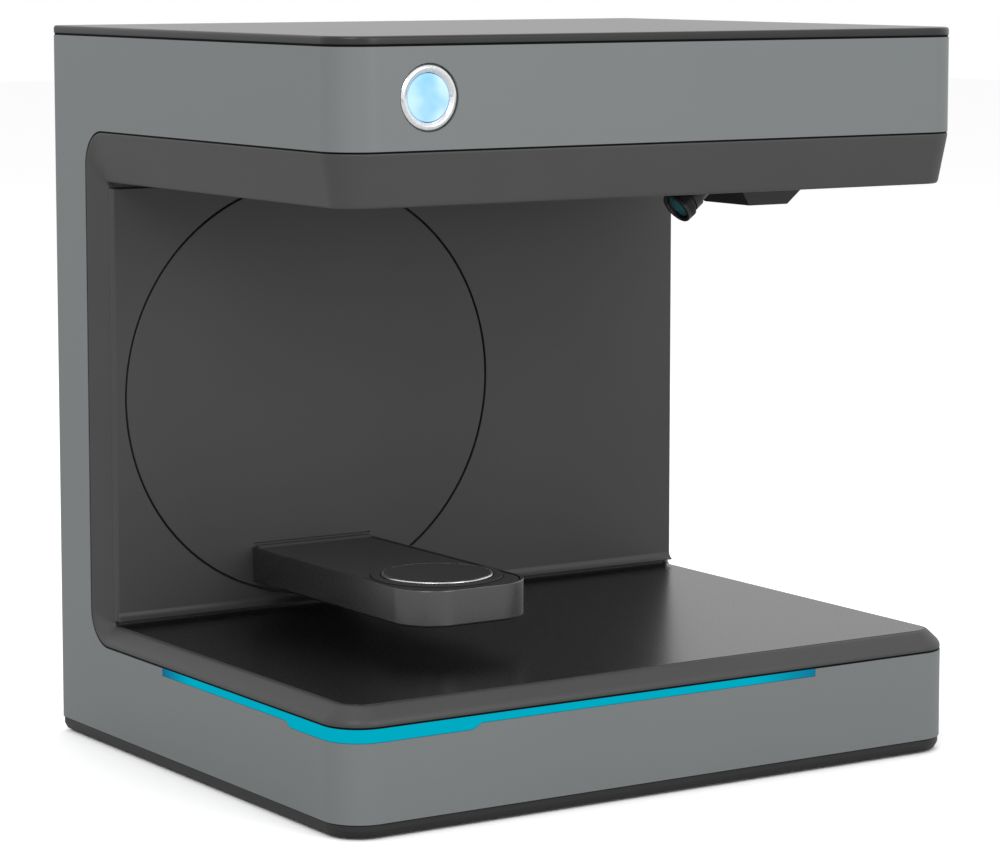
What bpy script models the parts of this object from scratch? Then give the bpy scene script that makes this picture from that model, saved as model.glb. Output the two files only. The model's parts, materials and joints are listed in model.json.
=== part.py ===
"""Desktop 3-D scanner: a C-shaped housing round an open scanning bay, a swing arm with a small turntable
on a disc in the bay's back wall, and two cameras and a projector in the head above it.

Metres, +Z up, front towards -Y, +X to the right. The origin is on the floor under the middle of the housing.
"""

import math

import bmesh
import bpy
from mathutils import Matrix, Vector

# Overall size and the plan outline of the housing
WIDTH = 0.334
DEPTH = 0.2705
HEIGHT = 0.340
FRONT_CORNER = 0.018
BACK_CORNER = 0.004
CORNER_STEPS = 6

# Clearances, and how far a cutter runs past what it cuts
FIT = 0.0003
OVERRUN = 0.010
EDGE = 0.0007

# Levels and walls of the housing, from the top down
LID_HEIGHT = 0.0045
LID_PLATE = 0.003
LID_GROOVE_HEIGHT = 0.0009
LID_GROOVE_DEPTH = 0.0012
LID_EDGE = 0.0010
LID_LIP_HEIGHT = 0.004
LID_LIP_WIDTH = 0.0027
HEAD_BAND_HEIGHT = 0.0435
SKIRT_HEIGHT = 0.0241
SKIRT_INSET = 0.0044
SKIRT_LIP_WIDTH = 0.0022
UNDERSIDE_RECESS = 0.0030
SEAM = 0.0008
BASE_BAND_TOP = 0.0482
RIM_HEIGHT = 0.0096
RIM_INSET = 0.0067
PAN_TOP = 0.0068
PAN_SEAM = 0.0003
PAN_FLOOR = 0.0025
PAN_BREAK = 0.0027
PAN_INSET = 0.0006
PAN_TAPER = 0.0016
PAN_LIP_HEIGHT = 0.0055
PAN_LIP_WIDTH = 0.0022
SHELL_WALL = 0.003
LINER_WALL = 0.0025
LINER_FLANGE = 0.011
COLUMN_DEPTH = 0.0342
BAY_CORNER = 0.017
BAY_CORNER_STEPS = 6

# Back panel of the bay
PANEL_SETBACK = 0.0152
PANEL_THICKNESS = 0.003
PANEL_INSET = 0.0060
PANEL_EDGE = 0.0016
PANEL_TOP_GAP = 0.003
PANEL_BOTTOM_GAP = 0.0024

# Deck of the bay
DECK_THICKNESS = 0.0021
DECK_BORDER = 0.0012

# Light strip let into the base band; its ends and steps are measured from the left front corner
LIGHT_DEPTH = 0.0022
LIGHT_THIN = 0.0032
LIGHT_WIDE = 0.0057
LIGHT_STEP = 0.006
LIGHT_LEFT_END = 0.1638
LIGHT_LEFT_STEP = 0.0508
LIGHT_FRONT_STEP = 0.0635
LIGHT_FRONT_END = 0.2501

# Status light on the head
STATUS_FROM_LEFT = 0.043
STATUS_FROM_TOP = 0.0215
STATUS_RADIUS = 0.0142
STATUS_LENS_RADIUS = 0.0102
STATUS_RING_DEPTH = 0.0016
STATUS_LENS_RECESS = 0.0006
STATUS_LENS_DEPTH = 0.0050
STATUS_BORE_RADIUS = 0.0108
STATUS_ROUND = 0.0009

# Feet
FOOT_STANDOFF = 0.0012
FOOT_RADIUS = 0.009
FOOT_SINK = 0.0012
FOOT_EDGE = 0.0008
FOOT_INSET = 0.030

# Swing axis and its disc in the back panel
DISC_SIDE_GAP = 0.0057
DISC_TOP_GAP = 0.0030
DISC_BOTTOM_GAP = 0.0071
DISC_SEAM = 0.0010
DISC_STEPS = 72

# Swing arm
ARM_WIDTH = 0.0664
ARM_HEIGHT = 0.017
ARM_CLEARANCE = 0.0144
ARM_LENGTH = 0.1505
ARM_CORNER = 0.020
ARM_WALL = 0.0022
ARM_FLOOR = 0.0020
ARM_SEAM = 0.0005
ARM_LEDGE = 0.0016
ARM_COVER_THICKNESS = 0.0024
ARM_COVER_RECESS = 0.0003

# Turntable on the arm
TABLE_SETBACK = 0.0363
TABLE_RADIUS = 0.0258
TABLE_THICKNESS = 0.0014
TABLE_EDGE = 0.0006
TABLE_PAD_INSET = 0.0014
TABLE_PAD_SINK = 0.0005
TABLE_RING_RADIUS = 0.0304
TABLE_RING_WIDTH = 0.0041
TABLE_RING_HEIGHT = 0.0006
TABLE_SHAFT_RADIUS = 0.0037
TABLE_FLANGE_RADIUS = 0.0130
TABLE_BEARING_RADIUS = 0.0080
TABLE_BEARING_HEIGHT = 0.0050
TABLE_BOSS_WALL = 0.0024
TABLE_BOSS_HEIGHT = 0.0040
TABLE_PULLEY_RADIUS = 0.0120
PULLEY_HEIGHT = 0.0048
MOTOR_PULLEY_RADIUS = 0.0060
PULLEY_FLANGE = 0.0008
BELT_THICKNESS = 0.0012
BELT_WIDTH = 0.0026
TABLE_MOTOR_DISTANCE = 0.066
TABLE_MOTOR_RADIUS = 0.0140
TABLE_MOTOR_HEIGHT = 0.0052
TABLE_SPINDLE_RADIUS = 0.0015

# Swing drive behind the disc
HUB_RADIUS = 0.016
HUB_LENGTH = 0.0033
HUB_HOLE_RADIUS = 0.020
SWING_SHAFT_RADIUS = 0.0080
SWING_SHAFT_LENGTH = 0.0377
GEAR_MODULE = 0.0015
GEAR_TEETH = 72
PINION_TEETH = 16
GEAR_WIDTH = 0.005
GEAR_BACKLASH = 0.0003
TOOTH_ADDENDUM_SHARE = 0.9
TOOTH_DEDENDUM_SHARE = 1.2
GEAR_HUB_GAP = 0.0004
GEAR_WINDOW_INNER = 0.015
GEAR_WINDOW_OUTER = 0.045
GEAR_WINDOWS = 6
GEAR_SPOKE = 0.012
PINION_BEARING_DEGREES = 90
PINION_SPINDLE_RADIUS = 0.0025
PINION_SPINDLE_LENGTH = 0.012
BEARING_RADIUS = 0.014
BEARING_WIDTH = 0.007
BEARING_INNER_RACE = 0.0026
BEARING_SHIELD_SINK = 0.0005
HOUSING_RADIUS = 0.020
HOUSING_FLANGE_RADIUS = 0.030
HOUSING_FLANGE = 0.003
HOUSING_SHOULDER = 0.002
HOUSING_LENGTH = 0.0234
COLLAR_RADIUS = 0.012
COLLAR_WIDTH = 0.004
MOTOR_SIDE = 0.042
MOTOR_LENGTH = 0.028
MOTOR_CHAMFER = 0.005
MOTOR_PILOT_RADIUS = 0.011

# Sheet-metal chassis
CHASSIS_SIDE_GAP = 0.033
CHASSIS_SETBACK = 0.0100
CHASSIS_SHEET = 0.0025
CHASSIS_BOTTOM = 0.014
CHASSIS_TOP_GAP = 0.0082
CHASSIS_FRONT = 0.021
CHASSIS_ROOF_OVERLAP = 0.0064
CHASSIS_CABLE_RADIUS = 0.012
CHASSIS_CABLE_FROM_SIDE = 0.045
CHASSIS_CABLE_HEIGHT = 0.085
POST_RADIUS = 0.005
POST_INSET = 0.012

# Optics in the head: each unit looks at one point, this share of the way up from the turntable to the head.
# A rise is from the skirt's lower edge to the unit's front
AIM_SHARE = 0.3249
CAMERA_RIGHT_FROM_SIDE = 0.08681
CAMERA_RIGHT_RISE = -0.01495
CAMERA_LEFT_OFFSET = 0.00433
CAMERA_LEFT_RISE = 0.00622
PROJECTOR_OFFSET = 0.06447
PROJECTOR_RISE = 0.00882
LENS_RING_RADIUS = 0.0082
LENS_RING_LENGTH = 0.0056
LENS_GROOVE_RADIUS = 0.0066
LENS_GROOVE_LENGTH = 0.0015
LENS_TAIL_RADIUS = 0.0072
LENS_TAIL_LENGTH = 0.0050
LENS_NECK_RADIUS = 0.0062
LENS_NECK_LENGTH = 0.0200
LENS_MOUTH_RADIUS = 0.0062
LENS_MOUTH_DEPTH = 0.0024
LENS_MOUTH_SINK = 0.0008
GLASS_CROWN = 0.0009
CAMERA_SIDE = 0.016
CAMERA_DEPTH = 0.028
CAMERA_LENGTH = 0.026
PROJECTOR_LENS_RADIUS = 0.0105
PROJECTOR_LENS_LENGTH = 0.014
PROJECTOR_MOUTH_RADIUS = 0.0080
PROJECTOR_SIDE = 0.028
PROJECTOR_LENGTH = 0.036
BODY_CHAMFER = 0.0010
BRACKET_SHEET = 0.0025
BRACKET_LEFT = 0.020
BRACKET_FROM_SIDE = 0.0305
BRACKET_FLANGE = 0.045
WINDOW_LEFT = 0.018
WINDOW_FROM_SIDE = 0.0305
WINDOW_DEPTH = 0.034

# Faceted hood round the right camera
HOOD_HEIGHT = 0.0162
HOOD_WALL = 0.0016
HOOD_BOTTOM_WIDTH = 0.0228
HOOD_BOTTOM_DEPTH = 0.036
HOOD_FLARE_SIDE = 0.0145
HOOD_FLARE_FRONT = 0.0060
HOOD_FROM_SIDE = 0.0453
HOOD_NECK_GAP = 0.0012

# Rear panel with its vents and sockets
REAR_SIDE_BORDER = 0.033
REAR_TOP_BORDER = 0.022
REAR_BOTTOM_BORDER = 0.018
REAR_CORNER = 0.006
REAR_REBATE = 0.004
REAR_PLATE = 0.0012
REAR_BACKING = 0.0018
VENT_LENGTH = 0.046
VENT_HEIGHT = 0.0024
VENT_PITCH = 0.0060
VENT_ROWS = 8
VENT_TOP_OFFSET = 0.045
VENT_FROM_SIDE = 0.068
FAN_SIDE = 0.060
FAN_DEPTH = 0.020
FAN_FROM_SIDE = 0.068
FAN_CORNER = 0.005
FAN_BORE = 0.0272
FAN_HUB_RADIUS = 0.0125
FAN_HUB_LENGTH = 0.014
FAN_TIP_GAP = 0.0010
FAN_BLADES = 7
FAN_BLADE_SHEET = 0.0012
FAN_BLADE_DEPTH = 0.011
FAN_BLADE_DEGREES = 32
FAN_STRUT = 0.004
FAN_STRUT_DEPTH = 0.002
FAN_SPINDLE_RADIUS = 0.0020
FAN_SPINDLE_LENGTH = 0.006
GRILLE_SLOT = 0.0026
GRILLE_PITCH = 0.0056
SOCKET_HEIGHT = 0.037
SOCKET_POCKET_WIDTH = 0.110
SOCKET_POCKET_HEIGHT = 0.026
SOCKET_POCKET_FROM_SIDE = 0.070
SOCKET_FLOOR = 0.0015
SOCKET_POCKET_DEPTH = 0.005
INLET_WIDTH = 0.0275
INLET_HEIGHT = 0.0200
INLET_LENGTH = 0.020
INLET_WALL = 0.0022
INLET_PIN_WIDTH = 0.002
INLET_PIN_HEIGHT = 0.004
INLET_PIN_PITCH = 0.007
INLET_PIN_LENGTH = 0.011
INLET_OFFSET = 0.030
SWITCH_WIDTH = 0.0215
SWITCH_HEIGHT = 0.0150
SWITCH_LENGTH = 0.014
SWITCH_WALL = 0.0015
SWITCH_OFFSET = 0.003
ROCKER_DEGREES = 8
ROCKER_PIVOT_DEPTH = 0.0045
ROCKER_PIN_RADIUS = 0.0012
ROCKER_RADIUS = 0.0062
ROCKER_TILT_DEGREES = 10
ROCKER_BELLY_STEPS = 8
ROCKER_BELLY_SHARE = 0.6
USB_WIDTH = 0.0125
USB_HEIGHT = 0.0112
USB_LENGTH = 0.016
USB_WALL = 0.0008
USB_TONGUE_WIDTH = 0.0056
USB_TONGUE_HEIGHT = 0.0032
USB_OFFSET = 0.028

# Electronics in the base
SUPPLY_WIDTH = 0.098
SUPPLY_DEPTH = 0.068
SUPPLY_HEIGHT = 0.030
SUPPLY_FROM_SIDE = 0.013
SUPPLY_FROM_BACK = 0.003
SUPPLY_SLOTS = 6
SUPPLY_SLOT = 0.003
SUPPLY_SLOT_DEPTH = 0.0012
BOARD_WIDTH = 0.110
BOARD_DEPTH = 0.100
BOARD_SHEET = 0.0016
BOARD_STANDOFF = 0.006
BOARD_STANDOFF_RADIUS = 0.003
BOARD_STANDOFF_INSET = 0.006
BOARD_FROM_SIDE = 0.009
BOARD_FROM_FRONT = 0.035
HEATSINK_SIDE = 0.026
HEATSINK_HEIGHT = 0.012
HEATSINK_FINS = 5
HEATSINK_FIN = 0.0022
CONNECTOR_WIDTH = 0.036
CONNECTOR_DEPTH = 0.007
CONNECTOR_HEIGHT = 0.008

# Panel screws
SCREW_RADIUS = 0.0030
SCREW_HEAD = 0.0010
SCREW_LENGTH = 0.0060
SCREW_SHANK_RADIUS = 0.0015
SCREW_INSET = 0.009

ROUND_STEPS = 32
SMALL_STEPS = 20

# Places worked out from the sizes above
LEFT = -WIDTH / 2
RIGHT = WIDTH / 2
FRONT = -DEPTH / 2
BACK = DEPTH / 2
HEAD_TOP = HEIGHT - LID_HEIGHT
HEAD_BOTTOM = HEAD_TOP - HEAD_BAND_HEIGHT
SKIRT_BOTTOM = HEAD_BOTTOM - SKIRT_HEIGHT
UNDERSIDE = SKIRT_BOTTOM + UNDERSIDE_RECESS
SHELL_BOTTOM = PAN_TOP + PAN_SEAM
DECK_TOP = BASE_BAND_TOP + RIM_HEIGHT
COLUMN_FRONT = BACK - COLUMN_DEPTH
PANEL_FRONT = COLUMN_FRONT - PANEL_SETBACK
PANEL_BACK = PANEL_FRONT + PANEL_THICKNESS
LINER_FACE = PANEL_BACK + FIT
INSIDE = SHELL_WALL + FIT
DISC_BOTTOM = DECK_TOP + DISC_BOTTOM_GAP
DISC_RADIUS = (SKIRT_BOTTOM - DISC_TOP_GAP - DISC_BOTTOM) / 2
SWING_X = LEFT + PANEL_INSET + DISC_SIDE_GAP + DISC_SEAM + DISC_RADIUS
SWING_Z = DISC_BOTTOM + DISC_RADIUS
ARM_BOTTOM = DECK_TOP + ARM_CLEARANCE
ARM_TOP = ARM_BOTTOM + ARM_HEIGHT
ARM_BACK = PANEL_FRONT - FIT
ARM_FRONT = ARM_BACK - ARM_LENGTH
TABLE_Y = ARM_FRONT + TABLE_SETBACK
ARM_FLOOR_TOP = ARM_BOTTOM + ARM_FLOOR
COVER_TOP = ARM_TOP - ARM_COVER_RECESS
COVER_BOTTOM = COVER_TOP - ARM_COVER_THICKNESS
TABLE_RING_TOP = COVER_TOP + FIT + TABLE_RING_HEIGHT
TABLE_BOTTOM = COVER_TOP + FIT
TABLE_TOP = TABLE_BOTTOM + TABLE_THICKNESS
PULLEY_BOTTOM = ARM_FLOOR_TOP + FIT + TABLE_BEARING_HEIGHT + FIT
TABLE_MOTOR_Y = TABLE_Y + TABLE_MOTOR_DISTANCE
CHASSIS_FACE = LINER_FACE + CHASSIS_SETBACK
CHASSIS_REAR = CHASSIS_FACE + CHASSIS_SHEET
CHASSIS_HALF_WIDTH = WIDTH / 2 - CHASSIS_SIDE_GAP
HUB_BACK = LINER_FACE + HUB_LENGTH
GEAR_FRONT = HUB_BACK + GEAR_HUB_GAP
GEAR_BACK = GEAR_FRONT + GEAR_WIDTH
HOUSING_FACE = CHASSIS_REAR + FIT
HOUSING_BACK = HOUSING_FACE + HOUSING_LENGTH
GEAR_PITCH_RADIUS = GEAR_MODULE * GEAR_TEETH / 2
PINION_PITCH_RADIUS = GEAR_MODULE * PINION_TEETH / 2
PINION_ANGLE = math.radians(PINION_BEARING_DEGREES)
PINION_X = SWING_X + (GEAR_PITCH_RADIUS + PINION_PITCH_RADIUS) * math.cos(PINION_ANGLE)
PINION_Z = SWING_Z + (GEAR_PITCH_RADIUS + PINION_PITCH_RADIUS) * math.sin(PINION_ANGLE)
CHASSIS_TOP = HEAD_TOP - CHASSIS_TOP_GAP
BRACKET_FACE = TABLE_Y + CAMERA_DEPTH / 2 + FIT
AIM_HEIGHT = TABLE_TOP + (UNDERSIDE - TABLE_TOP) * AIM_SHARE
CAMERA_RIGHT_FRONT = (RIGHT - CAMERA_RIGHT_FROM_SIDE, SKIRT_BOTTOM + CAMERA_RIGHT_RISE)
CAMERA_LEFT_FRONT = (SWING_X + CAMERA_LEFT_OFFSET, SKIRT_BOTTOM + CAMERA_LEFT_RISE)
PROJECTOR_FRONT = (SWING_X + PROJECTOR_OFFSET, SKIRT_BOTTOM + PROJECTOR_RISE)
LENS_LENGTH = LENS_RING_LENGTH + LENS_GROOVE_LENGTH + LENS_TAIL_LENGTH + LENS_NECK_LENGTH
REAR_FACE = BACK - FIT
REAR_LEFT = LEFT + REAR_SIDE_BORDER
REAR_RIGHT = RIGHT - REAR_SIDE_BORDER
REAR_TOP = HEIGHT - REAR_TOP_BORDER
REAR_BOTTOM = REAR_BOTTOM_BORDER
REAR_INNER = REAR_FACE - REAR_PLATE - REAR_BACKING
POCKET_FLOOR = REAR_FACE - SOCKET_POCKET_DEPTH
SOCKET_Z = SOCKET_HEIGHT
POCKET_X = REAR_LEFT + SOCKET_POCKET_FROM_SIDE

GREY_PAINT = ("shell_grey", (0.184, 0.200, 0.205), 0.45, 0.0)
DARK_PLASTIC = ("liner_dark", (0.066, 0.066, 0.068), 0.60, 0.0)
BLACK_DECK = ("deck_black", (0.010, 0.010, 0.011), 0.30, 0.0)
LID_DARK = ("lid_dark", (0.052, 0.052, 0.054), 0.35, 0.0)
PAN_BLACK = ("pan_black", (0.020, 0.020, 0.021), 0.60, 0.0)
RUBBER = ("foot_rubber", (0.012, 0.012, 0.012), 0.85, 0.0)
CHROME = ("status_chrome", (0.80, 0.81, 0.83), 0.12, 1.0)
BLUE_LIGHT = ("status_blue", (0.02, 0.30, 0.85), 0.25, 0.0)
CYAN_LIGHT = ("light_cyan", (0.0, 0.40, 0.53), 0.30, 0.0)
ARM_GLOSS = ("arm_gloss", (0.085, 0.086, 0.088), 0.22, 0.6)
ARM_TEXTURE = ("arm_texture", (0.040, 0.040, 0.041), 0.70, 0.0)
TABLE_METAL = ("table_metal", (0.30, 0.30, 0.31), 0.25, 0.9)
STEEL = ("steel", (0.52, 0.53, 0.54), 0.30, 1.0)
SHEET_STEEL = ("sheet_steel", (0.45, 0.46, 0.47), 0.45, 1.0)
ALUMINIUM = ("aluminium", (0.66, 0.67, 0.68), 0.35, 1.0)
BLACK_METAL = ("black_metal", (0.015, 0.015, 0.016), 0.40, 0.3)
GLASS = ("lens_glass", (0.03, 0.16, 0.17), 0.05, 0.0)
BLACK_PLASTIC = ("black_plastic", (0.018, 0.018, 0.018), 0.50, 0.0)
BELT_RUBBER = ("belt_rubber", (0.015, 0.015, 0.015), 0.80, 0.0)
BOARD_GREEN = ("board_green", (0.02, 0.12, 0.06), 0.50, 0.0)
SUPPLY_METAL = ("supply_metal", (0.50, 0.50, 0.50), 0.40, 1.0)


def clear_scene():
    for item in list(bpy.data.objects):
        bpy.data.objects.remove(item, do_unlink=True)


def new_collection(name):
    collection = bpy.data.collections.new(name)
    bpy.context.scene.collection.children.link(collection)
    return collection


def material_for(finish):
    """The Principled material of a finish, made the first time it is asked for."""
    name, colour, roughness, metallic = finish
    if name in bpy.data.materials:
        return bpy.data.materials[name]
    material = bpy.data.materials.new(name)
    material.use_nodes = True
    shader = material.node_tree.nodes["Principled BSDF"]
    shader.inputs["Base Color"].default_value = (*colour, 1.0)
    shader.inputs["Roughness"].default_value = roughness
    shader.inputs["Metallic"].default_value = metallic
    material.diffuse_color = (*colour, 1.0)
    return material


def finish_mesh(name, bm, finish):
    """Makes the object of a bmesh: a part if it has a finish, otherwise a cutter."""
    bmesh.ops.recalc_face_normals(bm, faces=bm.faces)
    mesh = bpy.data.meshes.new(name)
    bm.to_mesh(mesh)
    bm.free()
    item = bpy.data.objects.new(name, mesh)
    if finish is None:
        CUTTERS.objects.link(item)
        item.hide_render = True
        item.display_type = "WIRE"
    else:
        PARTS.objects.link(item)
        mesh.materials.append(material_for(finish))
        mesh.shade_smooth()
        mesh.set_sharp_from_angle(angle=math.radians(35))
    return item


def box(name, low, high, finish=None, chamfer=0):
    low = Vector(low)
    high = Vector(high)
    size = high - low
    bm = bmesh.new()
    placed = Matrix.Translation((low + high) / 2) @ Matrix.Diagonal((*size, 1))
    bmesh.ops.create_cube(bm, size=1, matrix=placed)
    if chamfer:
        bmesh.ops.bevel(bm, geom=bm.edges[:], offset=chamfer, segments=1, affect="EDGES")
    return finish_mesh(name, bm, finish)


def cylinder(name, centre, axis, low, high, radius, finish=None, steps=ROUND_STEPS):
    """A cylinder along axis X, Y or Z; centre gives the other two coordinates, low and high its ends."""
    turn = {"X": Matrix.Rotation(math.pi / 2, 4, "Y"), "Y": Matrix.Rotation(-math.pi / 2, 4, "X")}
    middle = (low + high) / 2
    places = {
        "X": (middle, centre[0], centre[1]),
        "Y": (centre[0], middle, centre[1]),
        "Z": (centre[0], centre[1], middle),
    }
    placed = Matrix.Translation(places[axis]) @ turn.get(axis, Matrix.Identity(4))
    bm = bmesh.new()
    bmesh.ops.create_cone(
        bm, cap_ends=True, segments=steps, radius1=radius, radius2=radius, depth=high - low, matrix=placed
    )
    return finish_mesh(name, bm, finish)


def rounded(left, right, front, back, front_radius, back_radius, steps=CORNER_STEPS):
    """A rectangle with round corners, counter-clockwise from its left front corner."""
    corners = (
        (left + front_radius, front + front_radius, front_radius, 2),
        (right - front_radius, front + front_radius, front_radius, 3),
        (right - back_radius, back - back_radius, back_radius, 0),
        (left + back_radius, back - back_radius, back_radius, 1),
    )
    points = []
    for x, y, radius, quarter in corners:
        for step in range(steps + 1):
            angle = (quarter + step / steps) * math.pi / 2
            points.append((x + radius * math.cos(angle), y + radius * math.sin(angle)))
    return points


def plan(inset, back_inset=None):
    """The housing's outline seen from above, drawn in by inset."""
    if back_inset is None:
        back_inset = inset
    front_radius = max(FRONT_CORNER - inset, EDGE)
    back_radius = max(BACK_CORNER - back_inset, EDGE)
    return rounded(
        LEFT + inset, RIGHT - inset, FRONT + inset, BACK - back_inset, front_radius, back_radius
    )


def loft(name, rings, finish=None, axis="Z"):
    """A solid through outlines of equal point count; each ring is its level along the axis and its points."""
    bm = bmesh.new()
    loops = []
    for level, points in rings:
        if axis == "Z":
            loops.append([bm.verts.new((a, b, level)) for a, b in points])
        else:
            loops.append([bm.verts.new((a, level, b)) for a, b in points])
    for low, high in zip(loops, loops[1:]):
        for here in range(len(low)):
            there = (here + 1) % len(low)
            bm.faces.new((low[here], low[there], high[there], high[here]))
    bm.faces.new(loops[0])
    bm.faces.new(loops[-1])
    return finish_mesh(name, bm, finish)


def prism(name, points, axis, low, high, finish=None):
    """An outline in the plane across an axis, extruded along it from low to high."""
    place = {
        "X": lambda a, b, level: (level, a, b),
        "Y": lambda a, b, level: (a, level, b),
        "Z": lambda a, b, level: (a, b, level),
    }[axis]
    bm = bmesh.new()
    face = bm.faces.new([bm.verts.new(place(a, b, low)) for a, b in points])
    raised = bmesh.ops.extrude_face_region(bm, geom=[face])
    moved = [item for item in raised["geom"] if isinstance(item, bmesh.types.BMVert)]
    bmesh.ops.translate(bm, verts=moved, vec=Vector(place(0, 0, high - low)))
    return finish_mesh(name, bm, finish)


def turned(name, profile, finish=None, steps=ROUND_STEPS, closed=False):
    """A Screw round local Z of a profile of (radius, height), its outer side listed from top to bottom."""
    bm = bmesh.new()
    verts = [bm.verts.new((radius, 0, height)) for radius, height in profile]
    for here, there in zip(verts, verts[1:]):
        bm.edges.new((here, there))
    if closed:
        bm.edges.new((verts[-1], verts[0]))
    item = finish_mesh(name, bm, finish)
    screw = item.modifiers.new("turn", "SCREW")
    screw.axis = "Z"
    screw.steps = steps
    screw.render_steps = steps
    screw.use_merge_vertices = True
    screw.merge_threshold = 0.00001
    screw.use_smooth_shade = True
    return item


def boolean(target, other, operation="DIFFERENCE"):
    modifier = target.modifiers.new(other.name, "BOOLEAN")
    modifier.operation = operation
    modifier.solver = "EXACT"
    modifier.object = other


def cut(target, *others):
    for other in others:
        boolean(target, other)


def join(target, *others):
    for other in others:
        boolean(target, other, "UNION")


def along_y(item, x, y, z):
    """Turns a piece made round local Z to run back along +Y from the given point."""
    item.rotation_euler = (-math.pi / 2, 0, 0)
    item.location = (x, y, z)


def joint_empty(name, place, items):
    """An empty on a joint's axis that carries the pieces which turn about it."""
    empty = bpy.data.objects.new(name, None)
    empty.location = place
    PARTS.objects.link(empty)
    bpy.context.view_layer.update()
    for item in items:
        item.parent = empty
        item.matrix_parent_inverse = empty.matrix_world.inverted()
    return empty


def bay_outline(grow):
    """The bay's opening in the shell seen from the side, as (y, z) points; grow widens it all round."""
    back = COLUMN_FRONT + grow
    low = BASE_BAND_TOP - grow
    high = HEAD_BOTTOM + grow
    radius = BAY_CORNER + grow
    points = [(FRONT - OVERRUN, high), (FRONT - OVERRUN, low)]
    for centre_z, quarter in ((low + radius, 3), (high - radius, 0)):
        for step in range(BAY_CORNER_STEPS + 1):
            angle = (quarter + step / BAY_CORNER_STEPS) * math.pi / 2
            points.append((back - radius + radius * math.cos(angle), centre_z + radius * math.sin(angle)))
    return points


def light_sections(grow):
    """Cross-sections of the light strip from its back end on the left side, round the corner, to the front."""
    outside = OVERRUN if grow else 0
    radius = FRONT_CORNER
    side_end = FRONT + LIGHT_LEFT_END + grow
    front_end = LEFT + LIGHT_FRONT_END + grow
    thin = BASE_BAND_TOP - LIGHT_THIN - grow
    wide = BASE_BAND_TOP - LIGHT_WIDE - grow
    stations = [
        (LEFT, side_end, math.pi, thin),
        (LEFT, FRONT + LIGHT_LEFT_STEP, math.pi, thin),
        (LEFT, FRONT + LIGHT_LEFT_STEP - LIGHT_STEP, math.pi, wide),
    ]
    for step in range(CORNER_STEPS + 1):
        angle = math.pi + step / CORNER_STEPS * math.pi / 2
        x = LEFT + radius + radius * math.cos(angle)
        y = FRONT + radius + radius * math.sin(angle)
        stations.append((x, y, angle, wide))
    down = math.pi * 3 / 2
    stations.append((LEFT + LIGHT_FRONT_STEP, FRONT, down, wide))
    stations.append((LEFT + LIGHT_FRONT_STEP + LIGHT_STEP, FRONT, down, thin))
    stations.append((front_end, FRONT, down, thin))
    top = BASE_BAND_TOP + outside
    inner = LIGHT_DEPTH + (OVERRUN if grow else 0)
    sections = []
    for x, y, angle, bottom in stations:
        out = Vector((math.cos(angle), math.sin(angle), 0))
        outer_point = Vector((x, y, 0)) + out * outside
        inner_point = Vector((x, y, 0)) - out * min(inner, radius - EDGE)
        corners = ((outer_point, top), (outer_point, bottom), (inner_point, bottom), (inner_point, top))
        sections.append([Vector((point.x, point.y, level)) for point, level in corners])
    return sections


def ribbon(name, sections, finish=None):
    """A solid through four-cornered cross-sections."""
    bm = bmesh.new()
    loops = [[bm.verts.new(point) for point in section] for section in sections]
    for low, high in zip(loops, loops[1:]):
        for here in range(len(low)):
            there = (here + 1) % len(low)
            bm.faces.new((low[here], low[there], high[there], high[here]))
    bm.faces.new(loops[0])
    bm.faces.new(loops[-1])
    return finish_mesh(name, bm, finish)


def rear_outline(grow):
    """The rear panel's outline as (x, z) points."""
    radius = REAR_CORNER + grow
    return rounded(
        REAR_LEFT - grow, REAR_RIGHT + grow, REAR_BOTTOM - grow, REAR_TOP + grow, radius, radius
    )


def status_place():
    return LEFT + STATUS_FROM_LEFT, HEAD_TOP - STATUS_FROM_TOP


def make_outer_shell():
    shell = loft("outer_shell", [(SHELL_BOTTOM, plan(0)), (HEAD_TOP, plan(0))], GREY_PAINT)
    inside = plan(SHELL_WALL)
    cut(shell, loft("shell_inside", [(SHELL_BOTTOM - OVERRUN, inside), (HEIGHT + OVERRUN, inside)]))
    cut(shell, prism("shell_bay", bay_outline(0), "X", LEFT - OVERRUN, RIGHT + OVERRUN))
    rebate = BACK - REAR_PLATE - FIT * 2
    cut(shell, prism("shell_rear_rebate", rear_outline(FIT), "Y", rebate, BACK + OVERRUN))
    window = rear_outline(FIT - REAR_REBATE)
    cut(shell, prism("shell_rear_window", window, "Y", BACK - OVERRUN, BACK + OVERRUN))
    cut(shell, ribbon("shell_light_slot", light_sections(FIT)))
    x, z = status_place()
    ring_seat = FRONT + STATUS_RING_DEPTH + FIT
    cut(shell, cylinder("status_seat", (x, z), "Y", FRONT - OVERRUN, ring_seat, STATUS_RADIUS + FIT))
    cut(shell, cylinder("status_bore", (x, z), "Y", FRONT - OVERRUN, FRONT + OVERRUN, STATUS_BORE_RADIUS))
    return shell


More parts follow.
